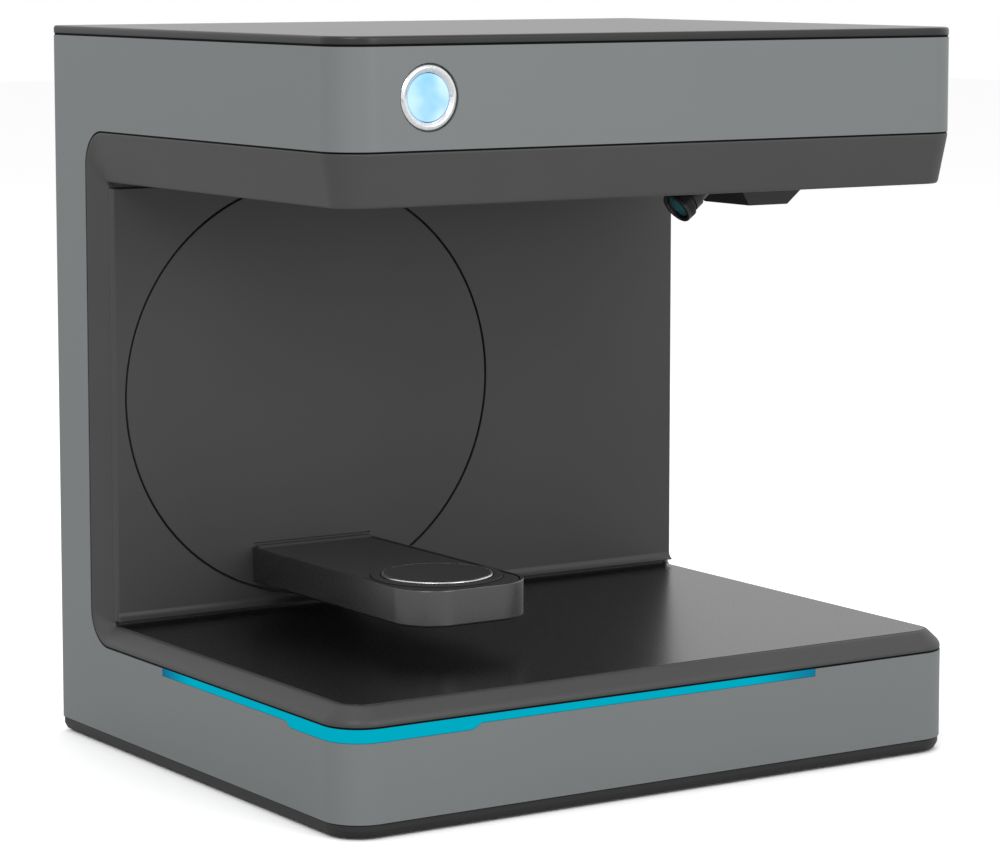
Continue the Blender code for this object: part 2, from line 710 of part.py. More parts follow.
def make_bay_liner():
    """One dark moulding: the head's tapered skirt and underside, the column behind the panel and the rim."""
    back = INSIDE
    head_rings = [
        (SKIRT_BOTTOM, plan(SKIRT_INSET + EDGE, back)),
        (SKIRT_BOTTOM + EDGE, plan(SKIRT_INSET, back)),
        (HEAD_BOTTOM - SEAM - EDGE, plan(EDGE / 4, back)),
        (HEAD_BOTTOM - SEAM, plan(EDGE, back)),
        (HEAD_BOTTOM - SEAM, plan(INSIDE, back)),
        (HEAD_BOTTOM + LINER_FLANGE, plan(INSIDE, back)),
    ]
    rim_rings = [
        (BASE_BAND_TOP - LINER_FLANGE, plan(INSIDE, back)),
        (BASE_BAND_TOP + FIT, plan(INSIDE, back)),
        (BASE_BAND_TOP + FIT, plan(0, back)),
        (DECK_TOP - EDGE, plan(RIM_INSET, back)),
        (DECK_TOP, plan(RIM_INSET + EDGE, back)),
    ]
    liner = loft("bay_liner", head_rings, DARK_PLASTIC)
    join(liner, loft("liner_rim", rim_rings))
    rear = BACK - INSIDE

    def column(front_inset):
        return [
            (LEFT, COLUMN_FRONT),
            (LEFT + front_inset, LINER_FACE),
            (RIGHT - front_inset, LINER_FACE),
            (RIGHT, COLUMN_FRONT),
            (RIGHT, rear),
            (LEFT, rear),
        ]

    levels = [
        (BASE_BAND_TOP + SEAM, column(PANEL_INSET)),
        (SKIRT_BOTTOM - PANEL_TOP_GAP, column(PANEL_INSET)),
        (SKIRT_BOTTOM, column(SKIRT_INSET)),
        (HEAD_BOTTOM - SEAM * 2, column(SKIRT_INSET)),
    ]
    join(liner, loft("liner_column", levels))

    wall = loft("liner_shell_room", [(-OVERRUN, plan(-OVERRUN)), (HEIGHT, plan(-OVERRUN))])
    cut(wall, loft("liner_shell_inside", [(-OVERRUN * 2, plan(INSIDE)), (HEIGHT + OVERRUN, plan(INSIDE))]))
    cut(wall, prism("liner_shell_bay", bay_outline(-FIT), "X", LEFT - OVERRUN * 2, RIGHT + OVERRUN * 2))
    cut(liner, wall)

    skin = INSIDE + LINER_WALL
    floor = UNDERSIDE + LINER_WALL
    head_hollow = [
        (floor, plan(SKIRT_INSET + LINER_WALL, skin)),
        (HEAD_BOTTOM, plan(skin)),
        (HEAD_BOTTOM + LINER_FLANGE + OVERRUN, plan(skin)),
    ]
    cut(liner, loft("liner_head_hollow", head_hollow))
    deck_seat = DECK_TOP - DECK_THICKNESS - FIT
    ceiling = deck_seat - LINER_WALL
    rim_skin = RIM_INSET + LINER_WALL + EDGE
    base_hollow = [(BASE_BAND_TOP - LINER_FLANGE - OVERRUN, plan(rim_skin)), (ceiling, plan(rim_skin))]
    cut(liner, loft("liner_base_hollow", base_hollow))
    column_low = (LEFT + skin, LINER_FACE + LINER_WALL, ceiling - OVERRUN)
    column_high = (RIGHT - skin, BACK + OVERRUN, floor + OVERRUN)
    cut(liner, box("liner_column_hollow", column_low, column_high))
    rear_low = (REAR_LEFT - REAR_REBATE, COLUMN_FRONT, REAR_BOTTOM - OVERRUN)
    rear_high = (REAR_RIGHT + REAR_REBATE, BACK + OVERRUN, REAR_TOP + OVERRUN)
    cut(liner, box("liner_rear_opening", rear_low, rear_high))

    lip = SKIRT_INSET + SKIRT_LIP_WIDTH
    recess_back = BACK - LINER_FACE
    recess = [(SKIRT_BOTTOM - OVERRUN, plan(lip, recess_back)), (UNDERSIDE, plan(lip, recess_back))]
    cut(liner, loft("liner_underside_recess", recess))
    border = RIM_INSET + EDGE + DECK_BORDER
    seat = [(deck_seat, plan(border, recess_back)), (DECK_TOP + OVERRUN, plan(border, recess_back))]
    cut(liner, loft("liner_deck_seat", seat))
    window_low = (SWING_X - WINDOW_LEFT, TABLE_Y - WINDOW_DEPTH / 2, SKIRT_BOTTOM)
    window_high = (RIGHT - WINDOW_FROM_SIDE, TABLE_Y + WINDOW_DEPTH / 2, floor + OVERRUN)
    cut(liner, box("liner_optics_window", window_low, window_high))
    hub = (SWING_X, SWING_Z)
    cut(liner, cylinder("liner_hub_hole", hub, "Y", PANEL_FRONT, COLUMN_FRONT, HUB_HOLE_RADIUS))
    return liner


def make_back_panel():
    inset = PANEL_INSET
    low = DECK_TOP + PANEL_BOTTOM_GAP
    high = SKIRT_BOTTOM - PANEL_TOP_GAP

    def sheet(edge):
        return [
            (LEFT + inset + edge, low + edge),
            (RIGHT - inset - edge, low + edge),
            (RIGHT - inset - edge, high),
            (LEFT + inset + edge, high),
        ]

    half = PANEL_EDGE / 3
    rings = [
        (PANEL_FRONT, sheet(PANEL_EDGE)),
        (PANEL_FRONT + half, sheet(half)),
        (PANEL_FRONT + PANEL_EDGE, sheet(0)),
        (PANEL_BACK, sheet(0)),
    ]
    panel = loft("back_panel", rings, DARK_PLASTIC, axis="Y")
    radius = DISC_RADIUS + DISC_SEAM
    ends = (PANEL_FRONT - OVERRUN, PANEL_BACK + OVERRUN)
    cut(panel, cylinder("panel_disc_hole", (SWING_X, SWING_Z), "Y", *ends, radius, steps=DISC_STEPS))
    return panel


def make_bay_deck():
    border = RIM_INSET + EDGE + DECK_BORDER + FIT
    back = BACK - LINER_FACE + FIT
    bottom = DECK_TOP - DECK_THICKNESS
    rings = [
        (bottom, plan(border, back)),
        (DECK_TOP - EDGE / 2, plan(border, back)),
        (DECK_TOP, plan(border + EDGE / 2, back)),
    ]
    return loft("bay_deck", rings, BLACK_DECK)


def make_top_lid():
    lip_outer = INSIDE
    rings = [
        (HEAD_TOP - LID_LIP_HEIGHT, plan(lip_outer)),
        (HEAD_TOP + FIT, plan(lip_outer)),
        (HEAD_TOP + FIT, plan(LID_GROOVE_DEPTH)),
        (HEAD_TOP + LID_GROOVE_HEIGHT, plan(LID_GROOVE_DEPTH)),
        (HEAD_TOP + LID_GROOVE_HEIGHT, plan(0)),
        (HEIGHT - LID_EDGE, plan(0)),
        (HEIGHT - LID_EDGE / 3, plan(LID_EDGE / 3)),
        (HEIGHT, plan(LID_EDGE)),
    ]
    lid = loft("top_lid", rings, LID_DARK)
    inner = plan(lip_outer + LID_LIP_WIDTH)
    cut(lid, loft("lid_hollow", [(HEAD_TOP - OVERRUN, inner), (HEIGHT - LID_PLATE, inner)]))
    return lid


def foot_places():
    for side, x in (("left", LEFT + FOOT_INSET), ("right", RIGHT - FOOT_INSET)):
        for end, y in (("front", FRONT + FOOT_INSET), ("back", BACK - FOOT_INSET)):
            yield f"foot_{end}_{side}", x, y


def post_places():
    for x in (POST_INSET - CHASSIS_HALF_WIDTH, CHASSIS_HALF_WIDTH - POST_INSET):
        for y in (FRONT + CHASSIS_FRONT + POST_INSET, CHASSIS_FACE - POST_INSET):
            yield x, y


def make_base_pan():
    bottom = FOOT_STANDOFF
    rings = [
        (bottom, plan(PAN_INSET + PAN_TAPER)),
        (bottom + PAN_BREAK, plan(PAN_INSET)),
        (PAN_TOP, plan(PAN_INSET)),
        (PAN_TOP, plan(INSIDE)),
        (PAN_TOP + PAN_LIP_HEIGHT, plan(INSIDE)),
    ]
    pan = loft("base_pan", rings, PAN_BLACK)
    floor = bottom + PAN_FLOOR
    inner = plan(INSIDE + PAN_LIP_WIDTH)
    cut(pan, loft("pan_hollow", [(floor, inner), (PAN_TOP + PAN_LIP_HEIGHT + OVERRUN, inner)]))
    for number, (x, y) in enumerate(post_places()):
        post_ends = (bottom + PAN_FLOOR / 2, CHASSIS_BOTTOM - FIT)
        join(pan, cylinder(f"pan_post_{number}", (x, y), "Z", *post_ends, POST_RADIUS, steps=SMALL_STEPS))
    for name, x, y in foot_places():
        recess_ends = (-OVERRUN, bottom + FOOT_SINK + FIT)
        cut(pan, cylinder(f"recess_{name}", (x, y), "Z", *recess_ends, FOOT_RADIUS + FIT))
    return pan


def make_feet():
    top = FOOT_STANDOFF + FOOT_SINK
    profile = [
        (0, top),
        (FOOT_RADIUS, top),
        (FOOT_RADIUS, FOOT_EDGE),
        (FOOT_RADIUS - FOOT_EDGE, 0),
        (0, 0),
    ]
    for name, x, y in foot_places():
        foot = turned(name, profile, RUBBER)
        foot.location = (x, y, 0)


def make_light_guide():
    return ribbon("light_guide", light_sections(0), CYAN_LIGHT)


def make_status_light():
    """The chrome ring and the lit lens inside it, turned about an axis that runs back from the front face."""
    x, z = status_place()
    inner = STATUS_LENS_RADIUS + FIT
    rounding = STATUS_ROUND
    ring_profile = [
        (inner, 0 + rounding),
        (inner + rounding, 0),
        (STATUS_RADIUS - rounding, 0),
        (STATUS_RADIUS, rounding),
        (STATUS_RADIUS, STATUS_RING_DEPTH),
        (inner, STATUS_RING_DEPTH),
    ]
    ring = turned("status_ring", list(reversed(ring_profile)), CHROME, closed=True)
    along_y(ring, x, FRONT, z)
    lens_profile = [
        (0, STATUS_LENS_DEPTH),
        (STATUS_LENS_RADIUS, STATUS_LENS_DEPTH),
        (STATUS_LENS_RADIUS, STATUS_LENS_RECESS + rounding),
        (STATUS_LENS_RADIUS - rounding, STATUS_LENS_RECESS),
        (0, STATUS_LENS_RECESS),
    ]
    lens = turned("status_lens", lens_profile, BLUE_LIGHT)
    along_y(lens, x, FRONT, z)


def make_swing_disc():
    centre = (SWING_X, SWING_Z)
    ends = (PANEL_FRONT, PANEL_BACK)
    return cylinder("swing_disc", centre, "Y", *ends, DISC_RADIUS, DARK_PLASTIC, DISC_STEPS)


def arm_outline(inset, back_inset):
    radius = max(ARM_CORNER - inset, EDGE)
    return rounded(
        SWING_X - ARM_WIDTH / 2 + inset,
        SWING_X + ARM_WIDTH / 2 - inset,
        ARM_FRONT + inset,
        ARM_BACK - back_inset,
        radius,
        EDGE,
    )


def make_arm():
    arm = loft("arm_shell", [(ARM_BOTTOM, arm_outline(EDGE, EDGE)),
                             (ARM_BOTTOM + EDGE, arm_outline(0, 0)),
                             (ARM_TOP, arm_outline(0, 0))], ARM_GLOSS)
    seat_inset = ARM_WALL
    seat = COVER_BOTTOM - FIT
    seat_outline = arm_outline(seat_inset, ARM_WALL)
    cut(arm, loft("arm_cover_seat", [(seat, seat_outline), (ARM_TOP + OVERRUN, seat_outline)]))
    well = arm_outline(seat_inset + ARM_LEDGE, ARM_WALL + ARM_LEDGE)
    cut(arm, loft("arm_well", [(ARM_FLOOR_TOP, well), (ARM_TOP + OVERRUN, well)]))
    table = (SWING_X, TABLE_Y)
    bore = TABLE_BEARING_RADIUS + FIT
    boss_ends = (ARM_BOTTOM + ARM_FLOOR / 2, ARM_FLOOR_TOP + TABLE_BOSS_HEIGHT)
    join(arm, cylinder("arm_boss", table, "Z", *boss_ends, bore + TABLE_BOSS_WALL))
    cut(arm, cylinder("arm_boss_bore", table, "Z", ARM_FLOOR_TOP, ARM_TOP, bore))

    gap = seat_inset + ARM_SEAM
    cover_outline = arm_outline(gap, ARM_WALL + ARM_SEAM)
    cover = loft("arm_cover", [(COVER_BOTTOM, cover_outline), (COVER_TOP, cover_outline)], ARM_TEXTURE)
    hole = TABLE_FLANGE_RADIUS + FIT
    cut(cover, cylinder("cover_hole", table, "Z", ARM_BOTTOM, ARM_TOP + OVERRUN, hole))
    return arm, cover


def make_turntable():
    """The table's rim, pad and stepped shaft, the ring round it, the bearing and the belt drive."""
    outer = TABLE_RING_RADIUS
    inner = outer - TABLE_RING_WIDTH
    ring_profile = [
        (outer - EDGE / 2, TABLE_RING_TOP),
        (outer, TABLE_RING_TOP - EDGE / 2),
        (outer, TABLE_BOTTOM),
        (inner, TABLE_BOTTOM),
        (inner, TABLE_RING_TOP),
    ]
    ring = turned("table_ring", ring_profile, ARM_TEXTURE, steps=48, closed=True)
    pad_radius = TABLE_RADIUS - TABLE_PAD_INSET
    pad_floor = TABLE_TOP - TABLE_PAD_SINK
    plate_profile = [
        (0, pad_floor - FIT),
        (pad_radius + FIT, pad_floor - FIT),
        (pad_radius + FIT, TABLE_TOP),
        (TABLE_RADIUS - TABLE_EDGE, TABLE_TOP),
        (TABLE_RADIUS, TABLE_TOP - TABLE_EDGE),
        (TABLE_RADIUS, TABLE_BOTTOM),
        (0, TABLE_BOTTOM),
    ]
    plate = turned("turntable_plate", plate_profile, TABLE_METAL, steps=48)
    pad_profile = [(0, TABLE_TOP), (pad_radius, TABLE_TOP), (pad_radius, pad_floor), (0, pad_floor)]
    pad = turned("turntable_pad", pad_profile, ARM_TEXTURE, steps=48)

    shaft_bottom = ARM_FLOOR_TOP + FIT
    shaft_profile = [
        (0, TABLE_BOTTOM - FIT),
        (TABLE_FLANGE_RADIUS, TABLE_BOTTOM - FIT),
        (TABLE_FLANGE_RADIUS, COVER_BOTTOM + FIT),
        (TABLE_SHAFT_RADIUS, COVER_BOTTOM + FIT),
        (TABLE_SHAFT_RADIUS, shaft_bottom),
        (0, shaft_bottom),
    ]
    shaft = turned("table_shaft", shaft_profile, STEEL)
    bearing_top = shaft_bottom + TABLE_BEARING_HEIGHT
    bearing = turned("table_bearing", ring_section(
        TABLE_SHAFT_RADIUS + FIT, TABLE_BEARING_RADIUS, shaft_bottom, bearing_top
    ), STEEL, closed=True)

    pulley_top = PULLEY_BOTTOM + PULLEY_HEIGHT
    pulley = turned("table_pulley", pulley_section(
        TABLE_SHAFT_RADIUS + FIT, TABLE_PULLEY_RADIUS, PULLEY_BOTTOM, pulley_top
    ), ALUMINIUM, closed=True)
    for item in (ring, plate, pad, shaft, bearing, pulley):
        item.location = (SWING_X, TABLE_Y, 0)

    motor_bottom = ARM_FLOOR_TOP + FIT
    motor_top = motor_bottom + TABLE_MOTOR_HEIGHT
    motor_place = (SWING_X, TABLE_MOTOR_Y)
    motor = cylinder("table_motor", motor_place, "Z", motor_bottom, motor_top, TABLE_MOTOR_RADIUS, BLACK_METAL)
    spindle_bottom = motor_bottom + TABLE_MOTOR_HEIGHT / 2
    spindle_bore = TABLE_SPINDLE_RADIUS + FIT
    bore_ends = (spindle_bottom - FIT, motor_top + OVERRUN)
    cut(motor, cylinder("motor_spindle_bore", motor_place, "Z", *bore_ends, spindle_bore))
    motor_pulley_bottom = motor_top + FIT
    groove = MOTOR_PULLEY_RADIUS
    flange = groove + PULLEY_FLANGE
    motor_pulley = turned("table_motor_pulley", [
        (0, pulley_top),
        (flange, pulley_top),
        (flange, pulley_top - PULLEY_FLANGE),
        (groove, pulley_top - PULLEY_FLANGE),
        (groove, motor_pulley_bottom + PULLEY_FLANGE),
        (flange, motor_pulley_bottom + PULLEY_FLANGE),
        (flange, motor_pulley_bottom),
        (TABLE_SPINDLE_RADIUS, motor_pulley_bottom),
        (TABLE_SPINDLE_RADIUS, spindle_bottom),
        (0, spindle_bottom),
    ], STEEL)
    motor_pulley.location = (*motor_place, 0)

    belt_middle = (PULLEY_BOTTOM + pulley_top) / 2
    belt_levels = (belt_middle - BELT_WIDTH / 2, belt_middle + BELT_WIDTH / 2)
    belt = prism("table_belt", belt_outline(FIT + BELT_THICKNESS), "Z", *belt_levels, BELT_RUBBER)
    inside_levels = (belt_levels[0] - OVERRUN, belt_levels[1] + OVERRUN)
    cut(belt, prism("belt_inside", belt_outline(FIT), "Z", *inside_levels))
    return [plate, pad, shaft, pulley], motor_pulley


def belt_outline(grow):
    """The path round both pulleys, with the straight runs tangent to them."""
    big = TABLE_PULLEY_RADIUS + grow
    small = MOTOR_PULLEY_RADIUS + grow
    lean = math.asin((big - small) / TABLE_MOTOR_DISTANCE)
    points = []
    for radius, y, start, end in (
        (big, TABLE_Y, math.pi - lean, math.pi * 2 + lean),
        (small, TABLE_MOTOR_Y, lean, math.pi - lean),
    ):
        for step in range(SMALL_STEPS + 1):
            angle = start + (end - start) * step / SMALL_STEPS
            points.append((SWING_X + radius * math.cos(angle), y + radius * math.sin(angle)))
    return points


def ring_section(inner, outer, low, high):
    """A plain ring's profile: its outer side from top to bottom, then its bore."""
    return [(inner, high), (outer, high), (outer, low), (inner, low)]


def pulley_section(inner, outer, low, high):
    flange = outer + PULLEY_FLANGE * 2
    return [
        (inner, high),
        (flange, high),
        (flange, high - PULLEY_FLANGE),
        (outer, high - PULLEY_FLANGE),
        (outer, low + PULLEY_FLANGE),
        (flange, low + PULLEY_FLANGE),
        (flange, low),
        (inner, low),
    ]


def bearing_section(inner, outer, low, high):
    """A shielded ball bearing: two races with the shield set back between them."""
    race = BEARING_INNER_RACE
    sink = BEARING_SHIELD_SINK
    return [
        (inner, high),
        (inner + race, high),
        (inner + race, high - sink),
        (outer - race / 2, high - sink),
        (outer - race / 2, high),
        (outer, high),
        (outer, low),
        (outer - race / 2, low),
        (outer - race / 2, low + sink),
        (inner + race, low + sink),
        (inner + race, low),
        (inner, low),
    ]


def gear_outline(teeth, turn, centre):
    """A spur gear's outline as (x, z) points, with straight flanks; turn is the first tooth's angle."""
    pitch = GEAR_MODULE * teeth / 2
    tip = pitch + GEAR_MODULE * TOOTH_ADDENDUM_SHARE
    root = pitch - GEAR_MODULE * TOOTH_DEDENDUM_SHARE
    half = (math.pi * GEAR_MODULE / 2 - GEAR_BACKLASH) / 2
    slope = math.tan(math.radians(20))
    points = []
    for tooth in range(teeth):
        middle = turn + tooth * math.tau / teeth
        for radius, side in ((root, -1), (tip, -1), (tip, 1), (root, 1)):
            lean = (half - (radius - pitch) * slope) / radius
            angle = middle + side * lean
            points.append((centre[0] + radius * math.cos(angle), centre[1] + radius * math.sin(angle)))
    return points


def make_swing_drive():
    """Hub and shaft, bearings in their housing, collar, gear and the motor with its pinion."""
    hub = (SWING_X, SWING_Z)
    shaft_length = HUB_LENGTH + SWING_SHAFT_LENGTH
    shaft = turned("swing_shaft", [
        (0, shaft_length),
        (SWING_SHAFT_RADIUS, shaft_length),
        (SWING_SHAFT_RADIUS, HUB_LENGTH),
        (HUB_RADIUS, HUB_LENGTH),
        (HUB_RADIUS, 0),
        (0, 0),
    ], STEEL)
    along_y(shaft, SWING_X, LINER_FACE, SWING_Z)

    bore = SWING_SHAFT_RADIUS + FIT
    gear = prism("swing_gear", gear_outline(GEAR_TEETH, PINION_ANGLE, hub), "Y", GEAR_FRONT, GEAR_BACK, STEEL)
    ends = (GEAR_FRONT - OVERRUN, GEAR_BACK + OVERRUN)
    cut(gear, cylinder("gear_bore", hub, "Y", *ends, bore))
    for number in range(GEAR_WINDOWS):
        cut(gear, gear_window(number, ends))

    seat = BEARING_RADIUS + FIT
    shoulder = seat - HOUSING_SHOULDER
    first_end = BEARING_WIDTH + FIT
    second_start = HOUSING_LENGTH - BEARING_WIDTH - FIT
    housing = turned("bearing_housing", [
        (seat, HOUSING_LENGTH),
        (HOUSING_RADIUS, HOUSING_LENGTH),
        (HOUSING_RADIUS, HOUSING_FLANGE),
        (HOUSING_FLANGE_RADIUS, HOUSING_FLANGE),
        (HOUSING_FLANGE_RADIUS, 0),
        (seat, 0),
        (seat, first_end),
        (shoulder, first_end),
        (shoulder, second_start),
        (seat, second_start),
    ], ALUMINIUM, closed=True)
    along_y(housing, SWING_X, HOUSING_FACE, SWING_Z)
    for name, offset in (("swing_bearing_front", 0), ("swing_bearing_back", HOUSING_LENGTH - BEARING_WIDTH)):
        bearing = turned(name, bearing_section(bore, BEARING_RADIUS, 0, BEARING_WIDTH), STEEL, closed=True)
        along_y(bearing, SWING_X, HOUSING_FACE + offset, SWING_Z)
    collar = turned("shaft_collar", ring_section(bore, COLLAR_RADIUS, 0, COLLAR_WIDTH), STEEL, closed=True)
    along_y(collar, SWING_X, HOUSING_BACK + FIT, SWING_Z)

    axis = (PINION_X, PINION_Z)
    first_tooth = PINION_ANGLE + math.pi + math.pi / PINION_TEETH
    outline = gear_outline(PINION_TEETH, first_tooth, axis)
    pinion = prism("motor_pinion", outline, "Y", GEAR_FRONT, GEAR_BACK, STEEL)
    spindle_end = HOUSING_FACE + PINION_SPINDLE_LENGTH - FIT
    spindle_ends = (GEAR_FRONT + GEAR_WIDTH / 2, spindle_end)
    join(pinion, cylinder("pinion_spindle", axis, "Y", *spindle_ends, PINION_SPINDLE_RADIUS, steps=SMALL_STEPS))

    half = MOTOR_SIDE / 2
    corner = MOTOR_CHAMFER
    outline = [
        (PINION_X - half + corner, PINION_Z - half),
        (PINION_X + half - corner, PINION_Z - half),
        (PINION_X + half, PINION_Z - half + corner),
        (PINION_X + half, PINION_Z + half - corner),
        (PINION_X + half - corner, PINION_Z + half),
        (PINION_X - half + corner, PINION_Z + half),
        (PINION_X - half, PINION_Z + half - corner),
        (PINION_X - half, PINION_Z - half + corner),
    ]
    motor = prism("swing_motor", outline, "Y", HOUSING_FACE, HOUSING_FACE + MOTOR_LENGTH, BLACK_METAL)
    bore_ends = (HOUSING_FACE - OVERRUN, HOUSING_FACE + PINION_SPINDLE_LENGTH)
    spindle_bore = PINION_SPINDLE_RADIUS + FIT
    cut(motor, cylinder("swing_motor_bore", axis, "Y", *bore_ends, spindle_bore, steps=SMALL_STEPS))
    return shaft, gear, collar, pinion


def gear_window(number, ends):
    """One of the lightening windows between the gear's spokes."""
    share = math.tau / GEAR_WINDOWS
    middle = (number + 0.5) * share
    points = []
    steps = 4
    for radius, order in ((GEAR_WINDOW_INNER, 1), (GEAR_WINDOW_OUTER, -1)):
        reach = share / 2 - GEAR_SPOKE / 2 / radius
        for step in range(steps + 1):
            angle = middle + order * reach * (2 * step / steps - 1)
            points.append((SWING_X + radius * math.cos(angle), SWING_Z + radius * math.sin(angle)))
    return prism(f"gear_window_{number}", points, "Y", *ends)


def make_chassis():
    """One bent sheet: a floor over the pan, the column plate and a roof that carries the optics."""
    floor_front = FRONT + CHASSIS_FRONT
    roof_front = BRACKET_FACE + CHASSIS_ROOF_OVERLAP
    outline = [
        (floor_front, CHASSIS_BOTTOM),
        (CHASSIS_REAR, CHASSIS_BOTTOM),
        (CHASSIS_REAR, CHASSIS_TOP),
        (roof_front, CHASSIS_TOP),
    ]
    bm = bmesh.new()
    sides = (-CHASSIS_HALF_WIDTH, CHASSIS_HALF_WIDTH)
    rows = [[bm.verts.new((x, y, z)) for x in sides] for y, z in outline]
    for low, high in zip(rows, rows[1:]):
        bm.faces.new((low[0], low[1], high[1], high[0]))
    chassis = finish_mesh("chassis", bm, SHEET_STEEL)
    sheet = chassis.modifiers.new("sheet", "SOLIDIFY")
    sheet.thickness = CHASSIS_SHEET
    sheet.offset = 1 if chassis.data.polygons[0].normal.z > 0 else -1
    sheet.use_even_offset = True
    ends = (CHASSIS_FACE - OVERRUN, CHASSIS_REAR + OVERRUN)
    cut(chassis, cylinder("chassis_hub", (SWING_X, SWING_Z), "Y", *ends, BEARING_RADIUS))
    cut(chassis, cylinder("chassis_pilot", (PINION_X, PINION_Z), "Y", *ends, MOTOR_PILOT_RADIUS))
    for number, z in enumerate((CHASSIS_CABLE_HEIGHT, HEIGHT - CHASSIS_CABLE_HEIGHT)):
        place = (CHASSIS_HALF_WIDTH - CHASSIS_CABLE_FROM_SIDE, z)
        cut(chassis, cylinder(f"chassis_cable_{number}", place, "Y", *ends, CHASSIS_CABLE_RADIUS))
    return chassis


def place_optic(item, front, offset=0):
    """Puts a piece on a unit's axis, which runs back from the aim point through its front at (x, z)."""
    aim = Vector((SWING_X, TABLE_Y, AIM_HEIGHT))
    place = Vector((front[0], TABLE_Y, front[1]))
    reach = (place - aim).normalized()
    item.location = place + reach * offset
    item.rotation_euler = (0, math.atan2(reach.x, reach.z), 0)


def make_camera(side, front):
    """A machine-vision camera: body, lens barrel and front glass, on an axis that runs to the aim point."""
    ring_end = LENS_RING_LENGTH
    groove_end = ring_end + LENS_GROOVE_LENGTH
    tail_end = groove_end + LENS_TAIL_LENGTH
    neck_end = tail_end + LENS_NECK_LENGTH
    barrel = turned(f"camera_{side}_lens", [
        (0, neck_end),
        (LENS_NECK_RADIUS, neck_end),
        (LENS_NECK_RADIUS, tail_end),
        (LENS_TAIL_RADIUS, tail_end),
        (LENS_TAIL_RADIUS, groove_end),
        (LENS_GROOVE_RADIUS, groove_end),
        (LENS_GROOVE_RADIUS, ring_end),
        (LENS_RING_RADIUS, ring_end),
        (LENS_RING_RADIUS, EDGE),
        (LENS_RING_RADIUS - EDGE, 0),
        (LENS_MOUTH_RADIUS + EDGE, 0),
        (LENS_MOUTH_RADIUS, EDGE),
        (LENS_MOUTH_RADIUS, LENS_MOUTH_DEPTH),
        (0, LENS_MOUTH_DEPTH),
    ], BLACK_METAL)
    place_optic(barrel, front)
    radius = LENS_MOUTH_RADIUS - FIT
    back = LENS_MOUTH_DEPTH - FIT
    glass = turned(f"camera_{side}_glass", [
        (0, back),
        (radius, back),
        (radius, LENS_MOUTH_SINK + GLASS_CROWN),
        (radius / 2, LENS_MOUTH_SINK + GLASS_CROWN / 4),
        (0, LENS_MOUTH_SINK),
    ], GLASS, steps=24)
    place_optic(glass, front)
    half = CAMERA_SIDE / 2
    depth = CAMERA_DEPTH / 2
    body = box(f"camera_{side}_body", (-half, -depth, 0), (half, depth, CAMERA_LENGTH), ALUMINIUM, BODY_CHAMFER)
    place_optic(body, front, neck_end + FIT)


def make_projector():
    lens_end = PROJECTOR_LENS_LENGTH
    barrel = turned("projector_lens", [
        (0, lens_end),
        (PROJECTOR_LENS_RADIUS, lens_end),
        (PROJECTOR_LENS_RADIUS, EDGE),
        (PROJECTOR_LENS_RADIUS - EDGE, 0),
        (PROJECTOR_MOUTH_RADIUS + EDGE, 0),
        (PROJECTOR_MOUTH_RADIUS, EDGE),
        (PROJECTOR_MOUTH_RADIUS, LENS_MOUTH_DEPTH),
        (0, LENS_MOUTH_DEPTH),
    ], BLACK_METAL)
    place_optic(barrel, PROJECTOR_FRONT)
    radius = PROJECTOR_MOUTH_RADIUS - FIT
    glass = turned("projector_glass", [
        (0, LENS_MOUTH_DEPTH - FIT),
        (radius, LENS_MOUTH_DEPTH - FIT),
        (radius, LENS_MOUTH_SINK + GLASS_CROWN),
        (radius / 2, LENS_MOUTH_SINK + GLASS_CROWN / 4),
        (0, LENS_MOUTH_SINK),
    ], GLASS, steps=24)
    place_optic(glass, PROJECTOR_FRONT)
    half = PROJECTOR_SIDE / 2
    depth = CAMERA_DEPTH / 2
    high = (half, depth, PROJECTOR_LENGTH)
    body = box("projector_body", (-half, -depth, 0), high, BLACK_METAL, BODY_CHAMFER)
    place_optic(body, PROJECTOR_FRONT, lens_end + FIT)


def make_optics_bracket():
    """An angle that hangs from the chassis roof and carries both cameras and the projector on its face."""
    face = BRACKET_FACE
    top = CHASSIS_TOP - CHASSIS_SHEET - FIT
    bottom = UNDERSIDE + LINER_WALL + FIT
    outline = [
        (face, bottom),
        (face + BRACKET_SHEET, bottom),
        (face + BRACKET_SHEET, top - BRACKET_SHEET),
        (face + BRACKET_FLANGE, top - BRACKET_SHEET),
        (face + BRACKET_FLANGE, top),
        (face, top),
    ]
    ends = (SWING_X - BRACKET_LEFT, RIGHT - BRACKET_FROM_SIDE)
    return prism("optics_bracket", outline, "X", *ends, ALUMINIUM)


